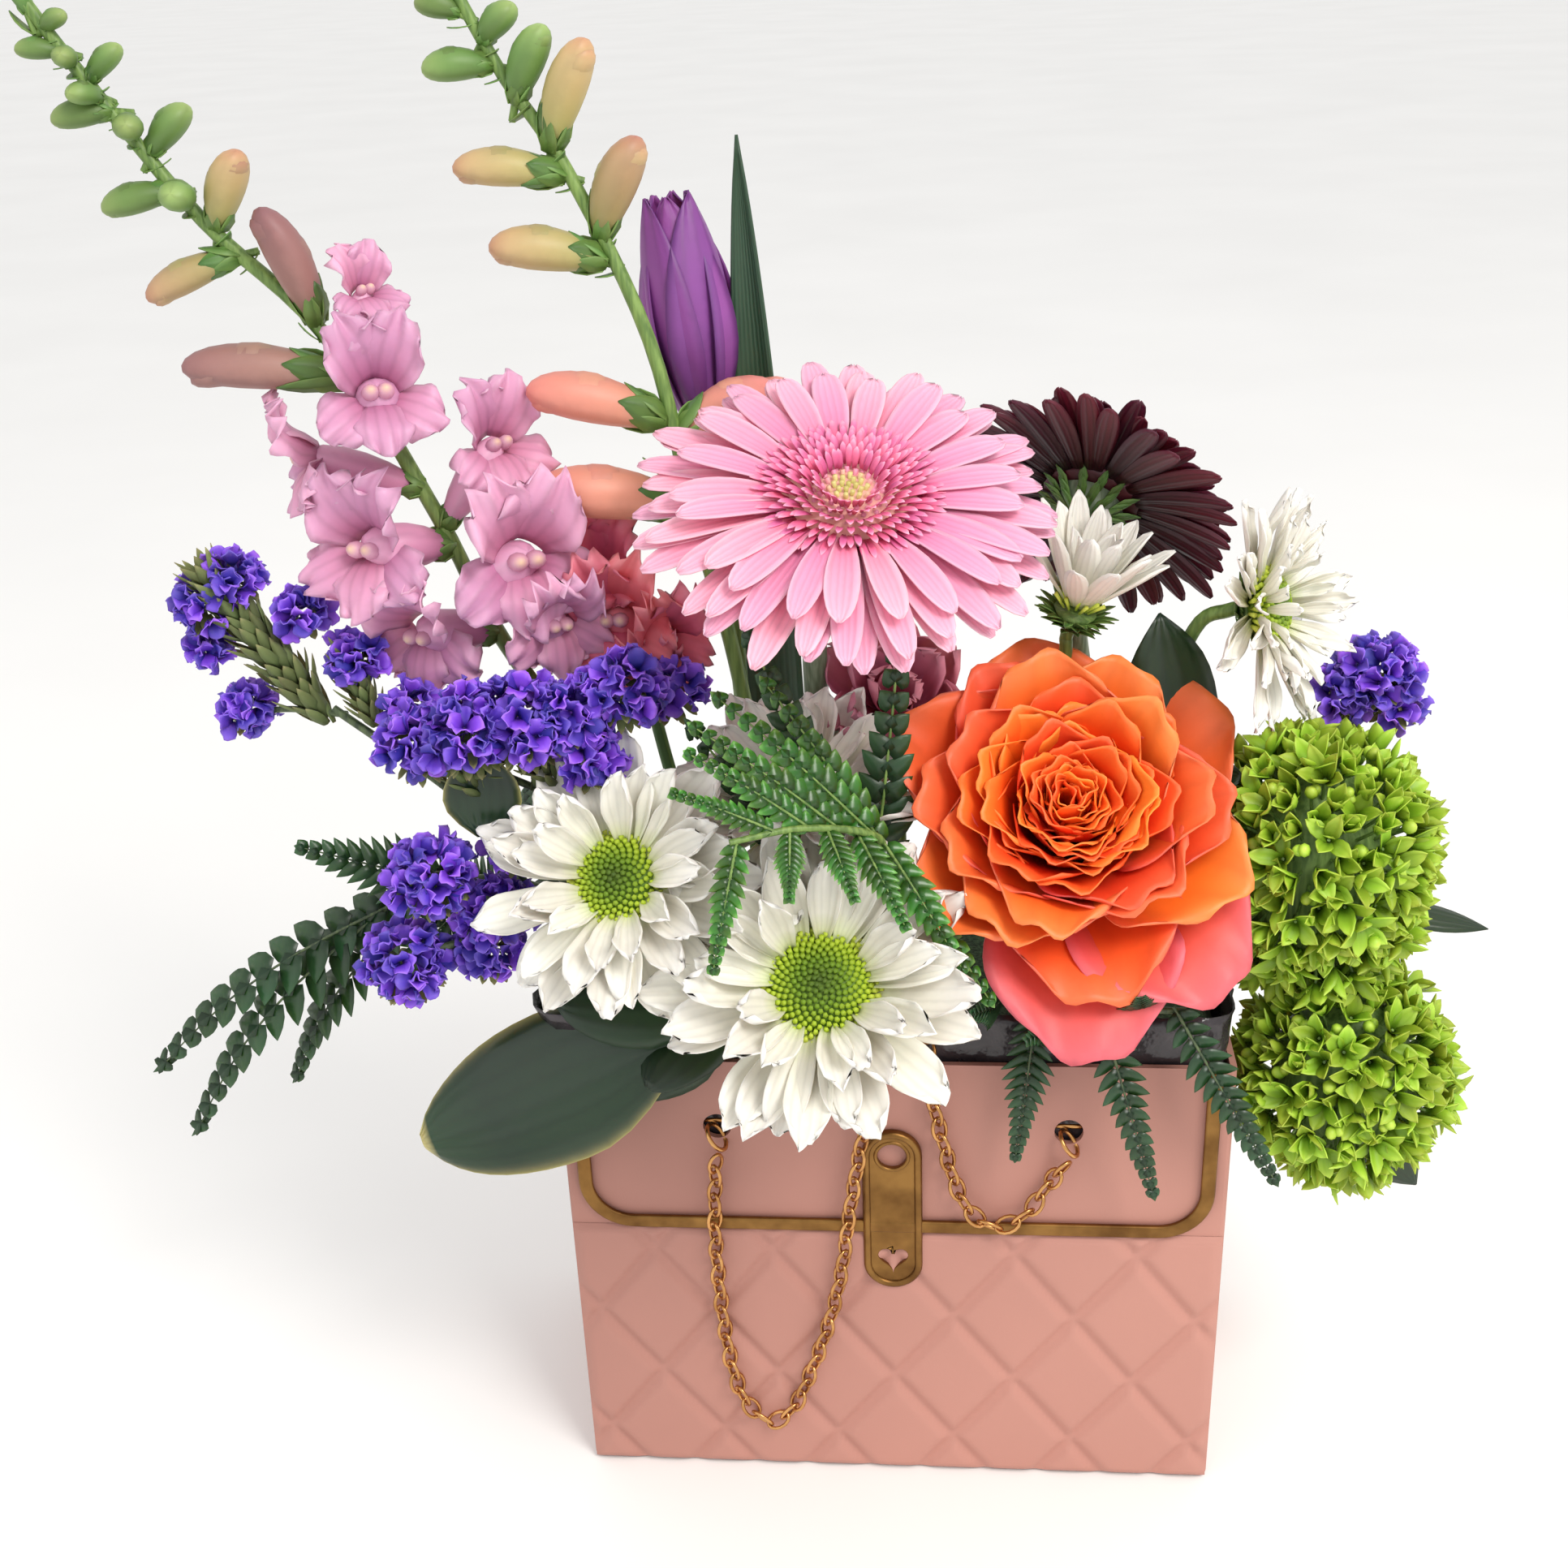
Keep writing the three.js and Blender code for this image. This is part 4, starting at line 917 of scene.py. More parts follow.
def small_mum(at, facing):
    bloom = aim(mm(at), facing)
    petals = Growth()
    for layer, (count, lift, length) in enumerate(((11, 0.85, 30), (9, 1.1, 28), (7, 1.3, 24))):
        petals.ring(bloom, count, 4 - layer, 0, lift, length, 9, jitter=0.12, offset=0.5 * layer,
                    outline=(0.4, 0.6, 0.6), cells=(4, 7), bend=0.15, wrap=0.9, wave=0.04)
    petals.place("mum_small_rays", ["mum_small_petals"], "white_petal", [WHITE_RAY], 0.4)
    disc = Growth()
    dome_of_florets(disc, bloom, 4, 4, 40, 5, 0.7)
    disc.place("mum_small_button", ["mum_small_disc"], "green_disc", [DISC])


daisies()


# ---- rose --------------------------------------------------------------------------------------

ROSE = {"at": (53, -38, 246), "facing": (0.03, -0.7, 0.71)}


def rose():
    bloom = aim(mm(ROSE["at"]), ROSE["facing"])
    stalk = Growth()
    foot = [tuple(c / MM for c in bloom @ mm((0, 0, depth))) for depth in (-33, -22)]
    stalk.stalks([
        tapered([(44, -6, 136), (45, -6, 170), (49, -8, 200), *foot], 3, 3),
        tapered([(47, -7, 188), (70, -6, 222), (90, -10, 250)], 1.3, 0.9),
    ], sides=3)
    stalk.horn(bloom @ Matrix.Translation(mm((0, 0, -31))), 8, 4, 10, sides=14)
    stalk.ring(bloom, 5, 8, -25, 0.2, 26, 11, outline=(0.7, 0.2, 1.0), bend=-0.6, wrap=0.5, coat=1)
    stalk.blade(lay(mm((89, -10, 244)), (-0.12, 0.1, 1), (0.3, -1, 0.1)), 50, 30, outline=(0.2, 0.45, 0.9),
                cells=(6, 10), bend=-0.35, wrap=-0.4, wave=0.04, coat=2)
    stalk.blade(lay(mm((80, -8, 236)), (0.5, -0.5, 0.5), (0.3, -0.6, 0.8)), 34, 22, outline=(0.2, 0.45, 0.9),
                cells=(6, 8), bend=-0.4, wrap=-0.4, wave=0.04, coat=2)
    stalk.place("rose_stalk", ["rose_stem"], "stem", [STALK, SEPAL, DARK_LEAF])

    rim = {"cells": (14, 12), "wave": 0.03, "waves": 1.6, "frill": 0.035, "frills": 2.4, "dome": 0.2}
    outer = Growth()
    for count, base, height, lift, length, width, bend, offset in (
        (6, 12, -25, 0.46, 51, 60, 0.32, 0.1),
        (6, 11, -23, 0.6, 49, 56, 0.38, 0.55),
        (7, 10, -21, 0.76, 46, 50, 0.42, 0.2),
    ):
        outer.ring(bloom, count, base, height, lift, length, width, jitter=0.09, offset=offset, loose=0.06,
                   outline=(0.4, 0.66, -0.3), bend=bend, wrap=0.85, curl=0.1, **rim)
    for angle, lift, length in ((math.pi * 1.02, 0.2, 62), (math.pi * 1.22, 0.3, 60)):
        outer.blade(around(bloom, angle, 10, -26, lift), length, 62, outline=(0.4, 0.66, -0.3), bend=0.16,
                    wrap=0.6, curl=0.14, coat=1, **rim)
    outer.place("rose_outer_ruffles", ["rose_outer_petals"], "orange_petal", [ORANGE_OUTER, CORAL_OUTER],
                0.5)

    inner = Growth()
    rows = 10
    for row in range(rows):
        share = row / (rows - 1)
        inner.ring(bloom, 8 - row // 2, 9 - 8 * share, -19 + 11 * share, 0.9 + 0.42 * share, 40 - 19 * share,
                   42 - 26 * share, jitter=0.2, offset=0.5 * row, loose=0.08, outline=(0.4, 0.7, -0.25),
                   bend=0.42 - 0.1 * share, wrap=1.0 + 0.35 * share, curl=0.09, **rim)
    for _ in range(9):
        place = around(bloom, draw.uniform(0, TAU), draw.uniform(2, 10), -6, 1.45)
        inner.blade(place, draw.uniform(15, 19), 14, outline=(0.5, 0.7, -0.2), bend=0.15, wrap=1.5,
                    curl=0.08,
                    **rim)
    inner.place("rose_inner_ruffles", ["rose_inner_petals"], "orange_petal", [ORANGE_HEART_PAINTED_SHADE], 0.4)


rose()


# ---- hydrangea ---------------------------------------------------------------------------------


def hydrangea_head(name, node_name, at, radii, count):
    head = Growth()
    centre = mm(at)
    core = Matrix.Translation(centre - mm((0, 0, radii[2] * 0.72)))
    head.bud(core, radii[2] * 1.44, radii[0] * 0.66, sides=(16, 12), coat=1)
    for i in range(count):
        level = 1 - 2 * (i + 0.5) / count
        ring = math.sqrt(1 - level * level)
        angle = i * GOLDEN_TURN
        way = Vector((ring * math.cos(angle), ring * math.sin(angle), level))
        surface = Vector((way.x * radii[0], way.y * radii[1], way.z * radii[2])) * MM
        lumpy = 0.86 + 0.16 * noise.noise(way * 3.1 + Vector((at[0], 0, 0))) + draw.uniform(-0.05, 0.03)
        place = centre + surface * lumpy
        lean = way + Vector([draw.uniform(-0.35, 0.35) for _ in range(3)])
        floret = aim(place, lean) @ Matrix.Rotation(draw.uniform(0, TAU), 4, "Z")
        head.stalks([[(centre + surface * 0.6, 0.6), (place, 0.5)]], sides=1, coat=1)
        if i % 5 == 3:
            head.bud(floret, 4.6, 2.1, sides=(8, 6))
            head.bud(floret @ Matrix.Rotation(0.9, 4, "X"), 4.2, 1.8, sides=(8, 6))
            continue
        lift = draw.uniform(0.6, 1.35)
        head.ring(floret, 4 + i % 2, 0.6, -1, lift, draw.uniform(8.5, 11.5), 6.4, jitter=0.22, loose=0.25,
                  outline=(0.45, 0.5, 0.95), cells=(3, 4), bend=0.1, wrap=1.0)
    head.place(name, [node_name], "lime_floret", [LIME, STALK], 0.3)


def hydrangea():
    stalk = Growth()
    stalk.stalks([
        tapered([(84, -10, 136), (86, -10, 170), (106, -13, 192), (122, -18, 204)], 3, 3),
        tapered([(102, -12, 188), (120, -18, 188), (134, -24, 178), (139, -27, 166)], 2.4, 2),
        tapered([(118, -16, 200), (136, -17, 204), (156, -18, 202)], 1.4, 1),
        tapered([(137, -26, 170), (150, -22, 140), (156, -20, 118)], 1.4, 1),
    ], sides=3)
    leaf = {"outline": (0.2, 0.4, 1.0), "cells": (6, 9), "bend": -0.3, "wrap": -0.35, "coat": 1}
    stalk.blade(lay(mm((150, -18, 202)), (1, -0.03, -0.08), (0, -0.4, 1)), 34, 11, **leaf)
    stalk.blade(lay(mm((153, -21, 126)), (0.6, -0.15, -0.75), (0.3, -1, 0.4)), 30, 20, **leaf)
    stalk.place("hydrangea_stalk", ["hydrangea_stem"], "stem", [STALK, DARK_LEAF])
    hydrangea_head("hydrangea_upper", "hydrangea_upper_head", (128, -20, 220), (35, 35, 42), 300)
    hydrangea_head("hydrangea_lower", "hydrangea_lower_head", (141, -28, 150), (33, 30, 37), 250)


hydrangea()


# ---- tulip -------------------------------------------------------------------------------------


def tulip():
    at, facing = (-58, 42, 337), (-0.11, 0, 0.99)
    cup = aim(mm(at), facing, (0, -1, 0))
    stalk = Growth()
    stalk.stalks([tapered([(-46, 26, 136), (-46, 28, 180), (-51, 36, 260), at], 3, 3)], sides=3)
    stalk.place("tulip_stalk", ["tulip_stem"], "stem", [STALK])
    bloom = Growth()
    for layer, (radius, width) in enumerate(((2.5, 36), (4, 38))):
        for i in range(3):
            place = around(cup, TAU * i / 3 + layer * math.pi / 3, radius, 0, 1.18)
            bloom.blade(place, 76, width, outline=(0.25, 0.45, 0.75), cells=(10, 14), bend=0.68, wrap=1.05,
                        frill=0.015)
    bloom.place("tulip_petals", ["tulip_bloom"], "purple_petal", [PURPLE], 0.6)
    leaf = Growth()
    leaf.blade(lay(mm((-33, 24, 138)), (-12, 28, 286), (-0.2, -1, 0.1)), 290, 21, outline=(0.5, 0.4, 0.75),
               cells=(6, 24), wrap=0.8)
    leaf.place("tulip_blade", ["tulip_leaf"], "leaf", [SPEAR_LEAF], 0.8)


tulip()


# ---- snapdragons -------------------------------------------------------------------------------


def sepals(plant, foot, length, radius, coat=1):
    plant.ring(foot, 5, radius * 0.2, 0, 1.05, length, radius * 1.15, outline=(0.7, 0.35, 0.9), cells=(3, 4),
               bend=0.5, wrap=0.7, coat=coat)


def snap_bud(plant, at, direction, length, radius, coat):
    foot = aim(mm(at), direction, (0, 0, 1))
    plant.stalks([[(foot @ mm((0, 0, -5)), 1.1), (foot @ mm((0, 0, 2)), 1.3)]], sides=2, coat=0)
    plant.bud(foot, length, radius, hook=-0.15, blunt=0.45, coat=coat, sides=(14, 12))
    cap = foot @ Matrix.Translation(mm((0, radius * 0.16, length * 0.36))) @ Matrix.Rotation(0.1, 4, "X")
    plant.bud(cap, length * 0.6, radius * 0.92, hook=-0.3, blunt=0.2, coat=coat, sides=(14, 10))
    sepals(plant, foot, length * 0.42, radius * 1.3)
    bract = foot @ Matrix.Translation(mm((0, 0, -5))) @ Matrix.Rotation(2.4, 4, "X")
    plant.blade(bract, 9, 4.5, outline=(0.6, 0.35, 1.0), cells=(2, 4), bend=-0.5, coat=1)


def dragon_flower(plant, foot, mouth, facing, size):
    """a two-lipped flower: a tube from the spike, two ruffled lobes up, three down, a pale mouth"""
    start, end = mm(foot), mm(mouth)
    tube = aim(start, end - start)
    length = (end - start).length / MM
    plant.bud(tube, length + size * 0.06, size * 0.2, blunt=0.4, coat=3, sides=(12, 8))
    face = aim(end, facing)
    lobe = {"cells": (12, 10), "outline": (0.55, 0.6, -0.3), "wave": 0.16, "waves": 1.6, "frill": 0.15,
            "frills": 2.8, "dome": 0.28}
    for side in (-1, 1):
        plant.blade(around(face, 0.45 * side, size * 0.12, -size * 0.1, 1.15), size * 0.66, size * 0.66,
                    bend=-0.5, wrap=0.7, curl=0.16, **lobe)
        plant.blade(around(face, math.pi + 0.95 * side, size * 0.12, -size * 0.1, 0.95), size * 0.56,
                    size * 0.5,
                    bend=-1.2, wrap=-0.4, curl=0.08, **lobe)
    plant.blade(around(face, math.pi, size * 0.1, -size * 0.02, 0.85), size * 0.52, size * 0.5, bend=-1.2,
                wrap=-0.5, **lobe)
    for side in (-1, 1):
        bump = face @ Matrix.Translation(mm((side * size * 0.06, -size * 0.03, -size * 0.04)))
        plant.bud(bump, size * 0.2, size * 0.075, coat=2, sides=(10, 8))
    sepals(plant, tube @ Matrix.Translation(mm((0, 0, -1))), size * 0.26, size * 0.26)


LEFT_STEM = [(-40, 2, 136), (-52, 2, 178), (-88, 0, 232), (-120, 0, 285), (-136, 0, 325), (-164, 3, 379),
             (-196, 5, 412), (-224, 5, 452), (-238, 5, 474)]
CENTRE_STEM = [(-30, 12, 136), (-31, 12, 178), (-42, 9, 232), (-50, 7, 282), (-59, 8, 321), (-70, 12, 374),
               (-91, 15, 422), (-107, 15, 448), (-121, 15, 476)]
LEFT_BUDS = [
    ((-236, 5, 468), (-0.2, 0, 1), 12, 3.2, 2), ((-233, 5, 464), (0.8, -0.3, 0.6), 10, 3, 2),
    ((-228, 5, 458), (-1, -0.2, 0.3), 13, 3.4, 2), ((-226, 4, 455), (0.2, -1, 0.5), 11, 3.4, 2),
    ((-222, 5, 450), (0.7, 0, 0.9), 14, 3.8, 2), ((-219, 4, 446), (-0.4, -1, 0.4), 12, 3.6, 2),
    ((-216, 5, 442), (-1, -0.2, 0.1), 18, 4.4, 2), ((-212, 4, 436), (0.3, -1, 0.5), 13, 4.2, 2),
    ((-208, 5, 430), (0.6, 0.1, 0.9), 18, 5, 2), ((-202, 5, 420), (-1, -0.2, 0), 22, 5, 2),
    ((-199, 3, 417), (0.1, -1, 0.5), 15, 5, 2), ((-192, 5, 409), (0.35, -0.2, 1), 26, 6, 3),
    ((-186, 5, 402), (-1, -0.3, -0.2), 30, 5.4, 3), ((-166, 3, 382), (-0.15, -0.1, 1), 36, 7, 4),
    ((-158, 2, 366), (-1, -0.15, 0.3), 48, 7.5, 4),
]
CENTRE_BUDS = [
    ((-117, 15, 464), (-1, 0, 0.5), 13, 4.4, 2), ((-112, 15, 456), (0.6, -0.2, 0.8), 15, 4.6, 2),
    ((-109, 15, 450), (-1, -0.3, 0.2), 20, 5.2, 2), ((-104, 15, 440), (0.35, -0.2, 1), 24, 5.6, 2),
    ((-95, 15, 427), (0.3, -0.2, 1), 34, 6.4, 3), ((-91, 15, 420), (-1, -0.2, 0.3), 32, 6.2, 3),
    ((-83, 15, 402), (0.3, -0.1, 1), 32, 7, 3), ((-81, 14, 396), (-1, -0.3, 0.4), 34, 7.2, 3),
    ((-66, 10, 350), (-1, -0.2, 0.5), 42, 8.2, 5), ((-60, 8, 324), (-1, -0.3, 0.4), 48, 9, 5),
    ((-63, 10, 346), (0.7, 0.4, 0.4), 34, 8, 5), ((-58, 9, 336), (0.6, 0.8, 0.6), 46, 8, 5),
]


def spike(name, node_name, route, foot, tip, buds):
    plant = Growth()
    plant.stalks([tapered(route, foot, tip)], sides=3)
    for at, direction, length, radius, coat in buds:
        snap_bud(plant, at, direction, length, radius, coat)
    finishes = [STALK, SEPAL, GREEN_BUD, PEACH_BUD, MAUVE_BUD, BLUSH_BUD]
    plant.place(name, [node_name], "stem", finishes)


FLOWERS = {
    "top": [((-150, 0, 352), (-146, -12, 366), (0.35, -0.8, 0.5), 36),
            ((-158, 2, 368), (-150, 0, 392), (0.5, -0.5, 0.7), 22)],
    "middle": [((-140, 0, 334), (-172, -4, 345), (-0.9, -0.4, 0.15), 32),
               ((-133, 0, 316), (-154, -14, 320), (-0.25, -0.9, 0.35), 40)],
    "right": [((-126, 0, 300), (-108, -12, 316), (0.45, -0.85, 0.25), 44),
              ((-134, 0, 322), (-116, 0, 347), (0.6, -0.6, 0.55), 32)],
    "low": [((-122, 0, 288), (-142, -10, 292), (-0.3, -0.9, -0.05), 38),
            ((-116, 0, 278), (-99, -15, 297), (0.5, -0.85, -0.1), 32)],
}


def snapdragons():
    spike("left_snapdragon_spike", "snapdragon_left_spike", LEFT_STEM, 2.9, 1.8, LEFT_BUDS)
    spike("centre_snapdragon_spike", "snapdragon_centre_spike", CENTRE_STEM, 2.8, 1.7, CENTRE_BUDS)
    for place, pair in FLOWERS.items():
        plant = Growth()
        for foot, mouth, facing, size in pair:
            dragon_flower(plant, foot, mouth, facing, size)
        plant.place(f"left_snapdragon_{place}", [f"snapdragon_left_floret_{place}"], "mauve_petal",
                    [SNAP_PINK, SEPAL, THROAT, SNAP_PINK], 0.4)
    coral = Growth()
    coral.stalks([tapered([(-60, 16, 136), (-62, 16, 178), (-74, 14, 240), (-86, 15, 306)], 2.6, 2)], coat=1)
    for mouth, facing, size in (
        ((-84, -4, 294), (0.1, -0.95, 0.25), 36), ((-70, 0, 286), (0.5, -0.85, 0.1), 30),
        ((-97, 4, 284), (-0.5, -0.8, 0.1), 30), ((-88, 4, 306), (-0.1, -0.7, 0.7), 28),
        ((-76, 4, 276), (0.2, -0.9, -0.2), 28),
    ):
        dragon_flower(coral, (-80, 14, 280), mouth, facing, size)
    coral.place("coral_snapdragon_spike", ["snapdragon_coral_spike"], "mauve_petal",
                [CORAL, SEPAL, THROAT, CORAL], 0.4)


snapdragons()


# ---- mauve bloom and statice -------------------------------------------------------------------


def mauve_bloom():
    stalk = Growth()
    stalk.stalks([tapered([(2, 12, 136), (2, 12, 178), (1, 6, 262)], 2.4, 2.4)], sides=3)
    stalk.place("mauve_stalk", ["mauve_bloom_stem"], "stem", [STALK])
    bloom = aim(mm((1, 3, 262)), (0.1, -0.7, 0.7))
    petals = Growth()
    for count, radius, lift, length, width in ((6, 4, 0.45, 26, 24), (6, 3, 0.8, 24, 20),
                                               (5, 2, 1.15, 20, 16)):
        petals.ring(bloom, count, radius, -4, lift, length, width, jitter=0.12, outline=(0.4, 0.65, 0.4),
                    cells=(7, 7), bend=0.3, wrap=0.9, wave=0.06, frill=0.08, frills=2.4)
    petals.place("mauve_petals", ["mauve_bloom"], "mauve_petal", [MAUVE_BLOOM], 0.4)


def tuft(plant, at, radius, count, lean=(0, -0.3, 1), bloom_coat=0, calyx_coat=1):
    """a dome of small frilled florets over papery green cups"""
    dome = aim(mm(at), lean)
    for i in range(count):
        out = math.sqrt((i + 0.5) / count)
        tip = out * 1.75
        spot = dome @ Matrix.Rotation(i * GOLDEN_TURN, 4, "Z") @ Matrix.Rotation(-tip, 4, "X")
        place = spot @ Matrix.Translation(mm((0, 0, radius * draw.uniform(0.62, 0.95))))
        tilted = place @ Matrix.Rotation(draw.uniform(-0.5, 0.5), 4,
                                         "X") @ Matrix.Rotation(draw.uniform(-0.5, 0.5), 4, "Y")
        plant.ring(tilted, 4, 0.5, -2.5, 1.15, 6.6, 6.2, jitter=0.4, loose=0.3, outline=(0.25, 0.85, -0.1),
                   cells=(5, 4), bend=-0.5, wrap=0.5, wave=0.12, frill=0.17, frills=3.6, dome=0.25,
                   coat=bloom_coat)
    for i in range(count):
        out = math.sqrt((i + 0.5) / count)
        spot = dome @ Matrix.Rotation(i * GOLDEN_TURN + 1, 4, "Z") @ Matrix.Rotation(-1.3 - out * 1.1, 4,
                                                                                     "X")
        place = spot @ Matrix.Translation(mm((0, 0, radius * 0.25)))
        plant.blade(place @ Matrix.Rotation(1.2, 4, "X"), radius * 0.72, 3.2, outline=(0.5, 0.6, 0.6),
                    cells=(2, 4),
                    bend=0.3, wrap=0.7, coat=calyx_coat)


def scaly_spike(plant, foot, tip, radius, count, coat=1):
    start, end = mm(foot), mm(tip)
    axis = aim(start, end - start)
    length = (end - start).length / MM
    for i in range(count):
        share = i / count
        fat = radius * math.sin(math.pi * (0.15 + 0.8 * share)) ** 0.7
        place = around(axis, i * GOLDEN_TURN, fat * 0.35, share * length, draw.uniform(0.7, 1.15))
        plant.blade(place, radius * draw.uniform(0.8, 1.2), radius * 0.42, outline=(0.6, 0.4, 0.9),
                    cells=(2, 4), bend=0.5, wrap=0.8,
                    coat=coat)


def statice():
    front_stalk = Growth()
    front_stalk.stalks([
        tapered([(-72, -4, 136), (-74, -8, 175), (-88, -22, 225), (-104, -33, 256)], 1.8, 1.6),
        tapered([(-98, -30, 244), (-118, -38, 258), (-136, -37, 264)], 1.3, 1),
        tapered([(-92, -26, 232), (-86, -32, 258), (-80, -33, 276)], 1.3, 1),
    ])
    for foot, tip in (((-128, -38, 254), (-112, -38, 266)), ((-106, -36, 250), (-96, -36, 266)),
                      ((-120, -40, 250), (-132, -38, 262)), ((-86, -36, 250), (-84, -36, 272)),
                      ((-98, -38, 252), (-106, -40, 266))):
        scaly_spike(front_stalk, foot, tip, 8, 26)
    front_stalk.place("statice_front_stalk", ["statice_front_stem"], "stem", [DARK_STALK, CALYX])
    front = Growth()
    for at, radius, count in (((-138, -38, 266), 13, 22), ((-122, -42, 272), 15, 28),
                              ((-106, -40, 273), 15, 28),
                              ((-92, -38, 275), 13, 24), ((-78, -33, 281), 13, 24),
                              ((-86, -42, 262), 10, 16),
                              ((-66, -14, 272), 10, 12), ((-144, -22, 270), 9, 12)):
        tuft(front, at, radius, count)
    front.place("statice_front_heads", ["statice_front_florets"], "statice", [STATICE, CALYX], 0.2)
    spray("statice_far_left", "statice_far_left_spray", [
        ([(-76, 6, 136), (-78, 4, 172), (-106, -12, 208), (-140, -20, 246), (-172, -14, 268)], 1.6),
        ([(-168, -14, 266), (-186, -12, 267), (-200, -10, 265)], 1.2),
    ], [((-174, -13, 262), (-206, -11, 310), 11, 110), ((-158, -16, 262), (-166, -13, 284), 8, 50)],
        [((-209, -10, 300), 10, 14), ((-198, -10, 308), 9, 14), ((-178, -10, 297), 8, 12),
         ((-163, -12, 283), 9, 14), ((-201, -10, 266), 9, 14), ((-210, -10, 286), 6, 8)])
    spray("statice_low_left", "statice_low_left_spray", [
        ([(-84, -12, 136), (-88, -16, 172), (-108, -32, 192), (-122, -44, 206)], 1.6),
        ([(-122, -44, 206), (-137, -50, 230)], 1.4),
        ([(-122, -44, 206), (-146, -55, 203)], 1.4),
    ], [], [((-120, -45, 214), 12, 20), ((-137, -50, 228), 14, 26), ((-146, -55, 201), 14, 26),
            ((-122, -45, 200), 11, 16), ((-112, -38, 232), 10, 14)])
    spray("statice_right", "statice_right_spray", [
        ([(86, 22, 136), (90, 22, 175), (112, 16, 225), (142, 10, 262)], 1.6),
    ], [((138, 10, 248), (146, 10, 266), 8, 26)], [((149, 10, 268), 13, 24), ((138, 9, 262), 9, 14),
                                                    ((154, 9, 258), 9, 12)])


def spray(name, node_name, routes, spikes, tufts):
    plant = Growth()
    plant.stalks([tapered(route, radius, radius * 0.8) for route, radius in routes], coat=2)
    for foot, tip, radius, count in spikes:
        scaly_spike(plant, foot, tip, radius, count)
    for at, radius, count in tufts:
        tuft(plant, at, radius, count)
    plant.place(name, [node_name], "statice", [STATICE, CALYX, DARK_STALK], 0.2)


mauve_bloom()
statice()


# ---- foliage -----------------------------------------------------------------------------------


def frond(plant, foot, tip, width, pairs, facing, droop=0.0, toothed=0.55, coat=1, stalk=0.55):
    """a rib with leaflets in pairs, longest a third of the way along"""
    start, end = mm(foot), mm(tip)
    base = lay(start, end - start, facing)
    length = (end - start).length
    face = base.to_3x3() @ Vector((0, 0, 1))
    ribs = []
    for i in range(9):
        share = i / 8
        bow = face * (length * droop * math.sin(math.pi * share))
        ribs.append((start.lerp(end, share) + bow, stalk * (1 - 0.6 * share)))
    plant.stalks([ribs], sides=1, coat=0)
    for i in range(pairs):
        share = (i + 0.6) / pairs
        reach = width / 2 * (1 - abs(share - 0.3) * 1.15) * draw.uniform(0.92, 1.06)
        spot = start.lerp(end, share) + face * (length * droop * math.sin(math.pi * share))
        for side in (-1, 1):
            here = Matrix.Translation(spot) @ base.to_3x3().to_4x4()
            turn = Matrix.Rotation(-side * (1.02 - 0.35 * share), 4, "Z")
            plant.blade(here @ turn, max(2.5, reach), max(2.2, length / MM / pairs * toothed * 1.9),
                        outline=(0.8, 0.28, 1.05), cells=(2, 4), bend=-0.25, keel=0.15, coat=coat)
    plant.blade(lay(end - (end - start) * 0.06, end - start, facing), length / MM * 0.09, 3.2,
                outline=(0.7, 0.3, 0.9), cells=(2, 3), coat=coat)


CENTRE_RACHIS = [(-8, -24, 136), (-8, -30, 180), (-5, -46, 226), (-2, -60, 247), (-22, -72, 256),
                 (-42, -81, 256)]
CENTRE_FRONDS = [
    ((-1, -57, 243), (-34, -52, 292), 15), ((-4, -61, 249), (-47, -58, 290), 16),
    ((-12, -66, 252), (-53, -65, 284), 15),
    ((-20, -71, 255), (-54, -70, 278), 13), ((-30, -76, 257), (-58, -75, 268), 11),
    ((-26, -74, 256), (-26, -84, 240), 12),
    ((-16, -69, 254), (-8, -84, 240), 13), ((-8, -63, 250), (6, -82, 230), 14),
    ((-1, -58, 245), (24, -80, 211), 15),
    ((-40, -80, 256), (-47, -93, 222), 14), ((0, -54, 240), (30, -72, 200), 14),
]


def centre_fern():
    plant = Growth()
    plant.stalks([tapered(CENTRE_RACHIS, 1.6, 0.9)])
    for foot, tip, width in CENTRE_FRONDS:
        frond(plant, foot, tip, width, 12, (0.1, -0.75, 0.65), droop=0.06, toothed=0.56)
    for foot, tip in (((-6, -44, 222), (-40, -34, 300)), ((-6, -40, 212), (4, -30, 300)),
                      ((-7, -36, 200), (-58, -36, 272))):
        frond(plant, foot, tip, 26, 13, (0.1, -0.9, 0.3), droop=0.05, toothed=0.5, coat=2, stalk=0.8)
    plant.place("centre_fern", ["fern_centre"], "fern", [STALK, FERN, DARK_FERN], 0.25)


def hanging_fern(name, node_name, rachis, fronds, width, pairs, facing, finish, droop):
    plant = Growth()
    plant.stalks([tapered(rachis, 1.6, 1)])
    for foot, tip in fronds:
        frond(plant, foot, tip, width, pairs, facing, droop=droop, toothed=0.5)
    plant.place(name, [node_name], "fern", [DARK_STALK, finish], 0.25)


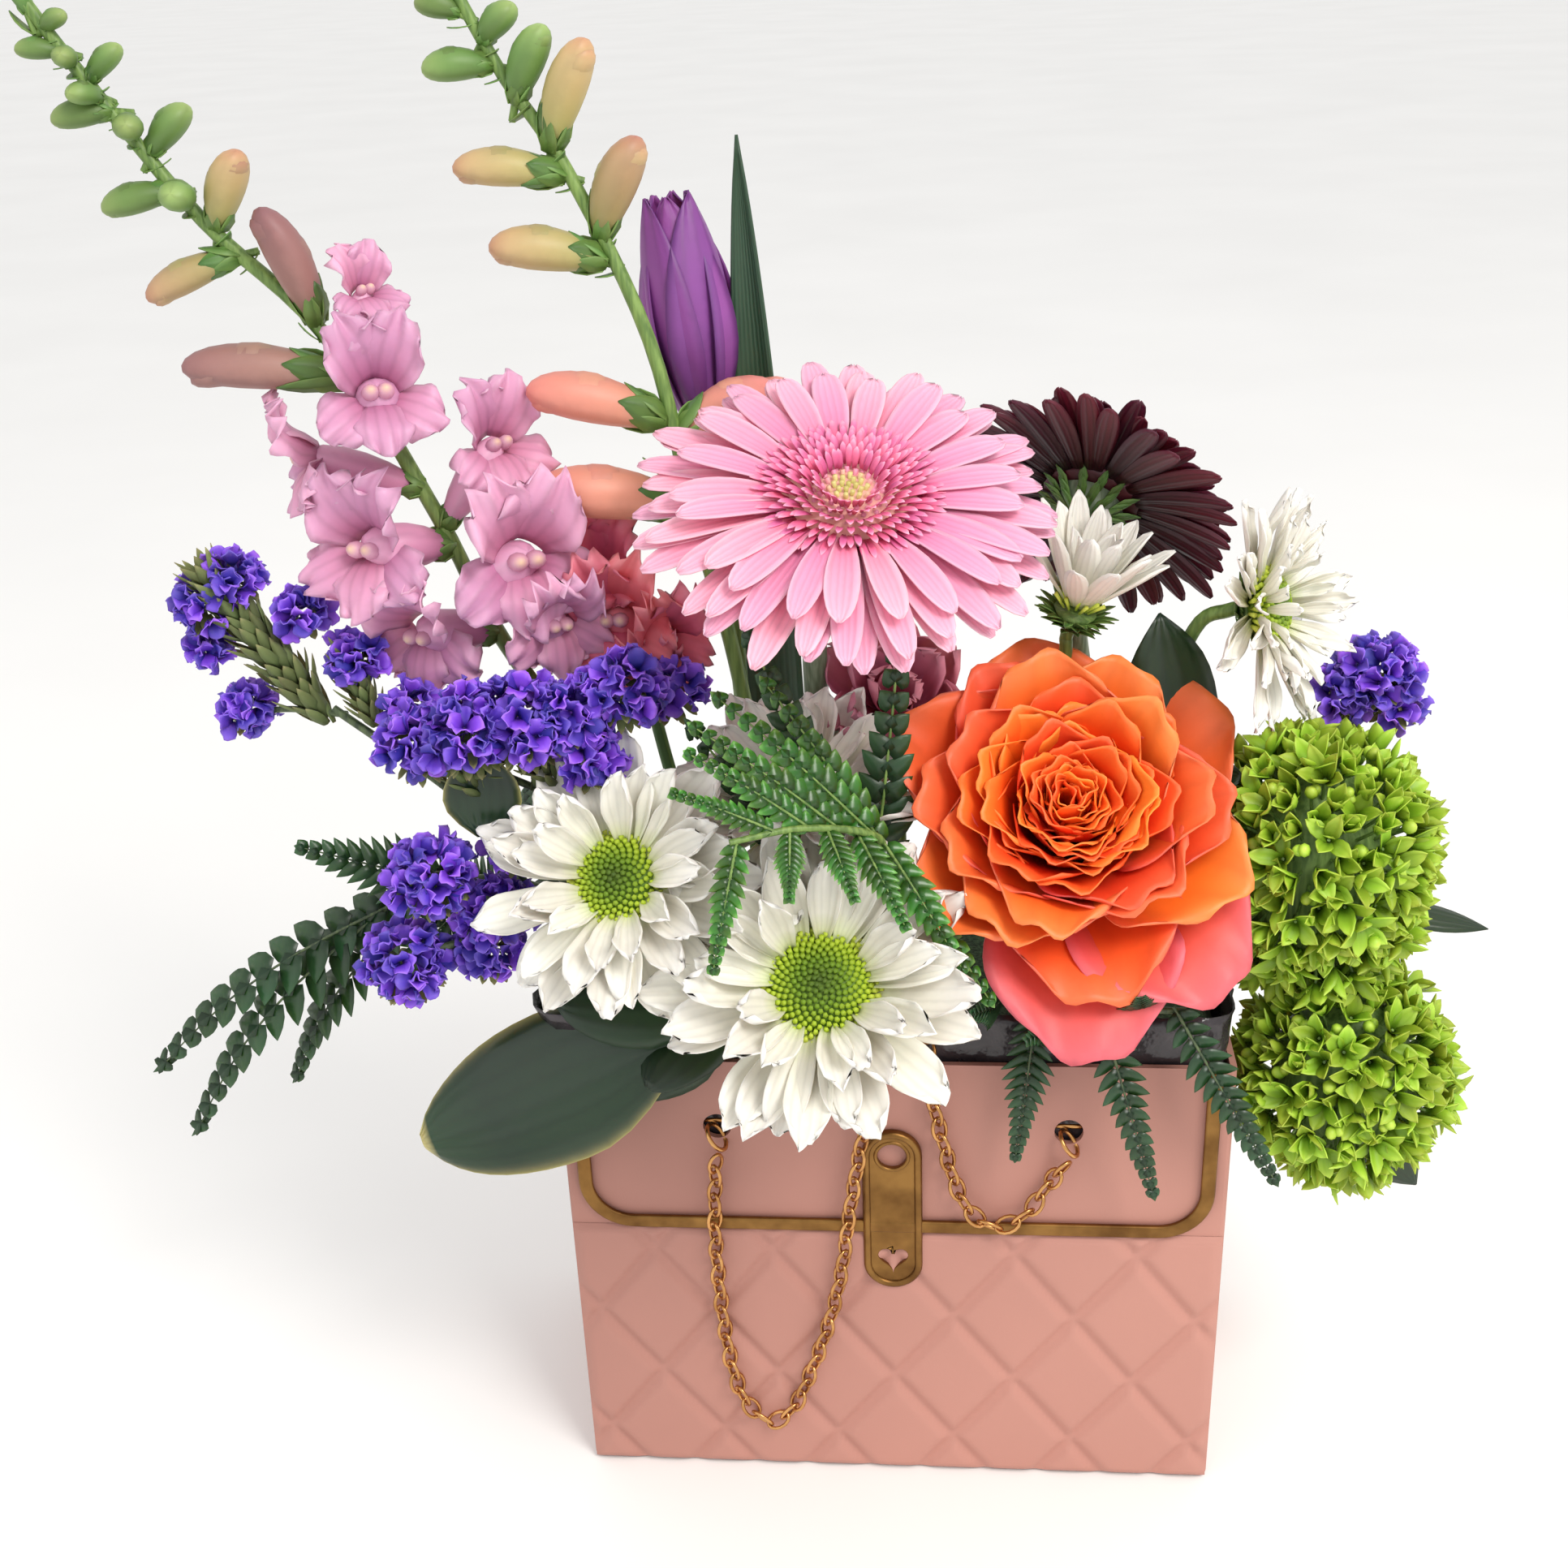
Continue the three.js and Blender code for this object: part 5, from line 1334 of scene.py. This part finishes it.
def ferns():
    centre_fern()
    hanging_fern("left_fern", "fern_left", [(-90, 12, 136), (-94, 8, 172), (-122, -6, 204),
                                            (-158, -18, 206)], [
        ((-150, -17, 206), (-246, -25, 142)), ((-156, -18, 205), (-234, -32, 122)),
        ((-146, -16, 206), (-200, -24, 138)), ((-140, -14, 206), (-184, -30, 228)),
        ((-130, -10, 204), (-160, -34, 176)), ((-120, -6, 202), (-150, 20, 190)),
        ((-104, 2, 188), (-130, 50, 210)),
        ((-96, 6, 176), (-112, 50, 188)),
    ], 30, 12, (-0.4, -0.8, 0.6), DARK_FERN, 0.12)
    hanging_fern("front_fern", "fern_front",
                 [(30, -28, 140), (33, -42, 182), (48, -53, 187), (68, -55, 188), (88, -54, 187)], [
                     ((44, -52, 188), (38, -64, 140)), ((62, -56, 190), (80, -65, 128)),
                     ((84, -55, 189), (116, -65, 134)), ((34, -44, 186), (24, -72, 196)),
                     ((54, -54, 189), (40, -76, 190)), ((74, -56, 189), (72, -74, 204)),
                 ], 20, 15, (0, -0.9, 0.3), DARK_FERN, 0.08)


def leaves():
    sprig = Growth()
    sprig.stalks([tapered([(-46, -26, 140), (-48, -34, 180), (-57, -50, 184), (-66, -59, 176)], 1.6, 1.2)])
    sprig.blade(lay(mm((-62, -56, 178)), (-80, -17, -29), (0, -0.85, 0.5)), 92, 48,
                outline=(0.15, 0.45, 0.55),
                cells=(10, 14), bend=-0.25, wrap=-0.35, wave=0.03, coat=1)
    sprig.blade(lay(mm((-54, -48, 184)), (-42, -14, 12), (0.1, -0.6, 0.8)), 48, 30,
                outline=(0.15, 0.45, 0.6),
                cells=(8, 10), bend=-0.4, wrap=-0.5, coat=2)
    for at, along, facing, length, width in (
        ((-52, -44, 184), (-60, -18, -2), (0, -0.7, 0.7), 56, 34),
        ((-50, -44, 180), (-34, -22, -14), (0, -0.8, 0.6), 44, 30),
        ((-50, -40, 182), (-20, -30, -6), (0, -0.5, 0.9), 40, 26),
        ((-46, -30, 176), (30, -30, -2), (0, -0.6, 0.8), 38, 24),
        ((-44, -28, 172), (-60, 20, 10), (-0.2, 0, 1), 50, 26),
        ((-46, -28, 160), (-20, 70, 40), (0, 0, 1), 60, 28),
        ((-46, -27, 158), (30, 70, 36), (0, 0, 1), 64, 28),
        ((-46, -27, 158), (90, 40, 30), (0, 0, 1), 74, 28),
    ):
        sprig.blade(lay(mm(at), along, facing), length, width, outline=(0.15, 0.45, 0.6), cells=(8, 10),
                    bend=-0.5,
                    wrap=-0.5, wave=0.03, coat=2)
    sprig.place("dark_sprig", ["variegated_sprig"], "leaf", [DARK_STALK, CREAM_EDGE, DARK_LEAF], 0.5)
    small = Growth()
    small.stalks([tapered([(-94, -22, 140), (-100, -30, 190), (-112, -38, 222), (-122, -43, 240)], 1.2,
                          0.9)])
    small.blade(lay(mm((-121, -42, 238)), (0.05, 0, 1), (0.1, -1, 0.2)), 25, 24, outline=(0.2, 0.5, 0.5),
                cells=(8, 8), bend=-0.2, wrap=0.3, coat=1)
    small.place("round_leaf", ["rounded_leaf"], "leaf", [DARK_STALK, CREAM_EDGE], 0.5)


ferns()
leaves()


# ---- floor, light and the end ------------------------------------------------------------------


def floor_finish():
    material, tree, shader = new_finish("pale_floor", 0.8)
    tree.links.new(ramp(tree, grain(tree, 3), [(0.3, "f4f3f1"), (0.7, "f8f7f5")]),
                   shader.inputs["Base Color"])
    return material


def area_light(name, at, toward, size, energy, colour=(1, 1, 1)):
    lamp = bpy.data.lights.new(name, "AREA")
    lamp.size, lamp.energy, lamp.color = size, energy, colour
    holder = bpy.data.objects.new(name, lamp)
    bpy.context.collection.objects.link(holder)
    holder.matrix_world = aim(Vector(at), Vector(at) - Vector(toward))


def studio():
    ground = bmesh.new()
    bmesh.ops.create_grid(ground, x_segments=4, y_segments=4, size=20.0)
    mesh = finished_mesh("floor", ground)
    mesh.materials.append(floor_finish())
    floor = bpy.data.objects.new("floor", mesh)
    floor.location.z = -0.0005
    bpy.context.collection.objects.link(floor)
    area_light("key", (0.7, -0.8, 1.35), (0, 0, 0.2), size=0.6, energy=16, colour=(1, 0.97, 0.93))
    area_light("fill", (-1.1, -1.2, 0.9), (0, 0, 0.2), size=1.4, energy=3)
    world = bpy.data.worlds.new("soft_light")
    world.use_nodes = True
    sky = world.node_tree.nodes["Background"]
    sky.inputs["Color"].default_value = (1, 1, 1, 1)
    sky.inputs["Strength"].default_value = 0.92
    bpy.context.scene.world = world
    bpy.context.scene.view_settings.view_transform = "Standard"


studio()
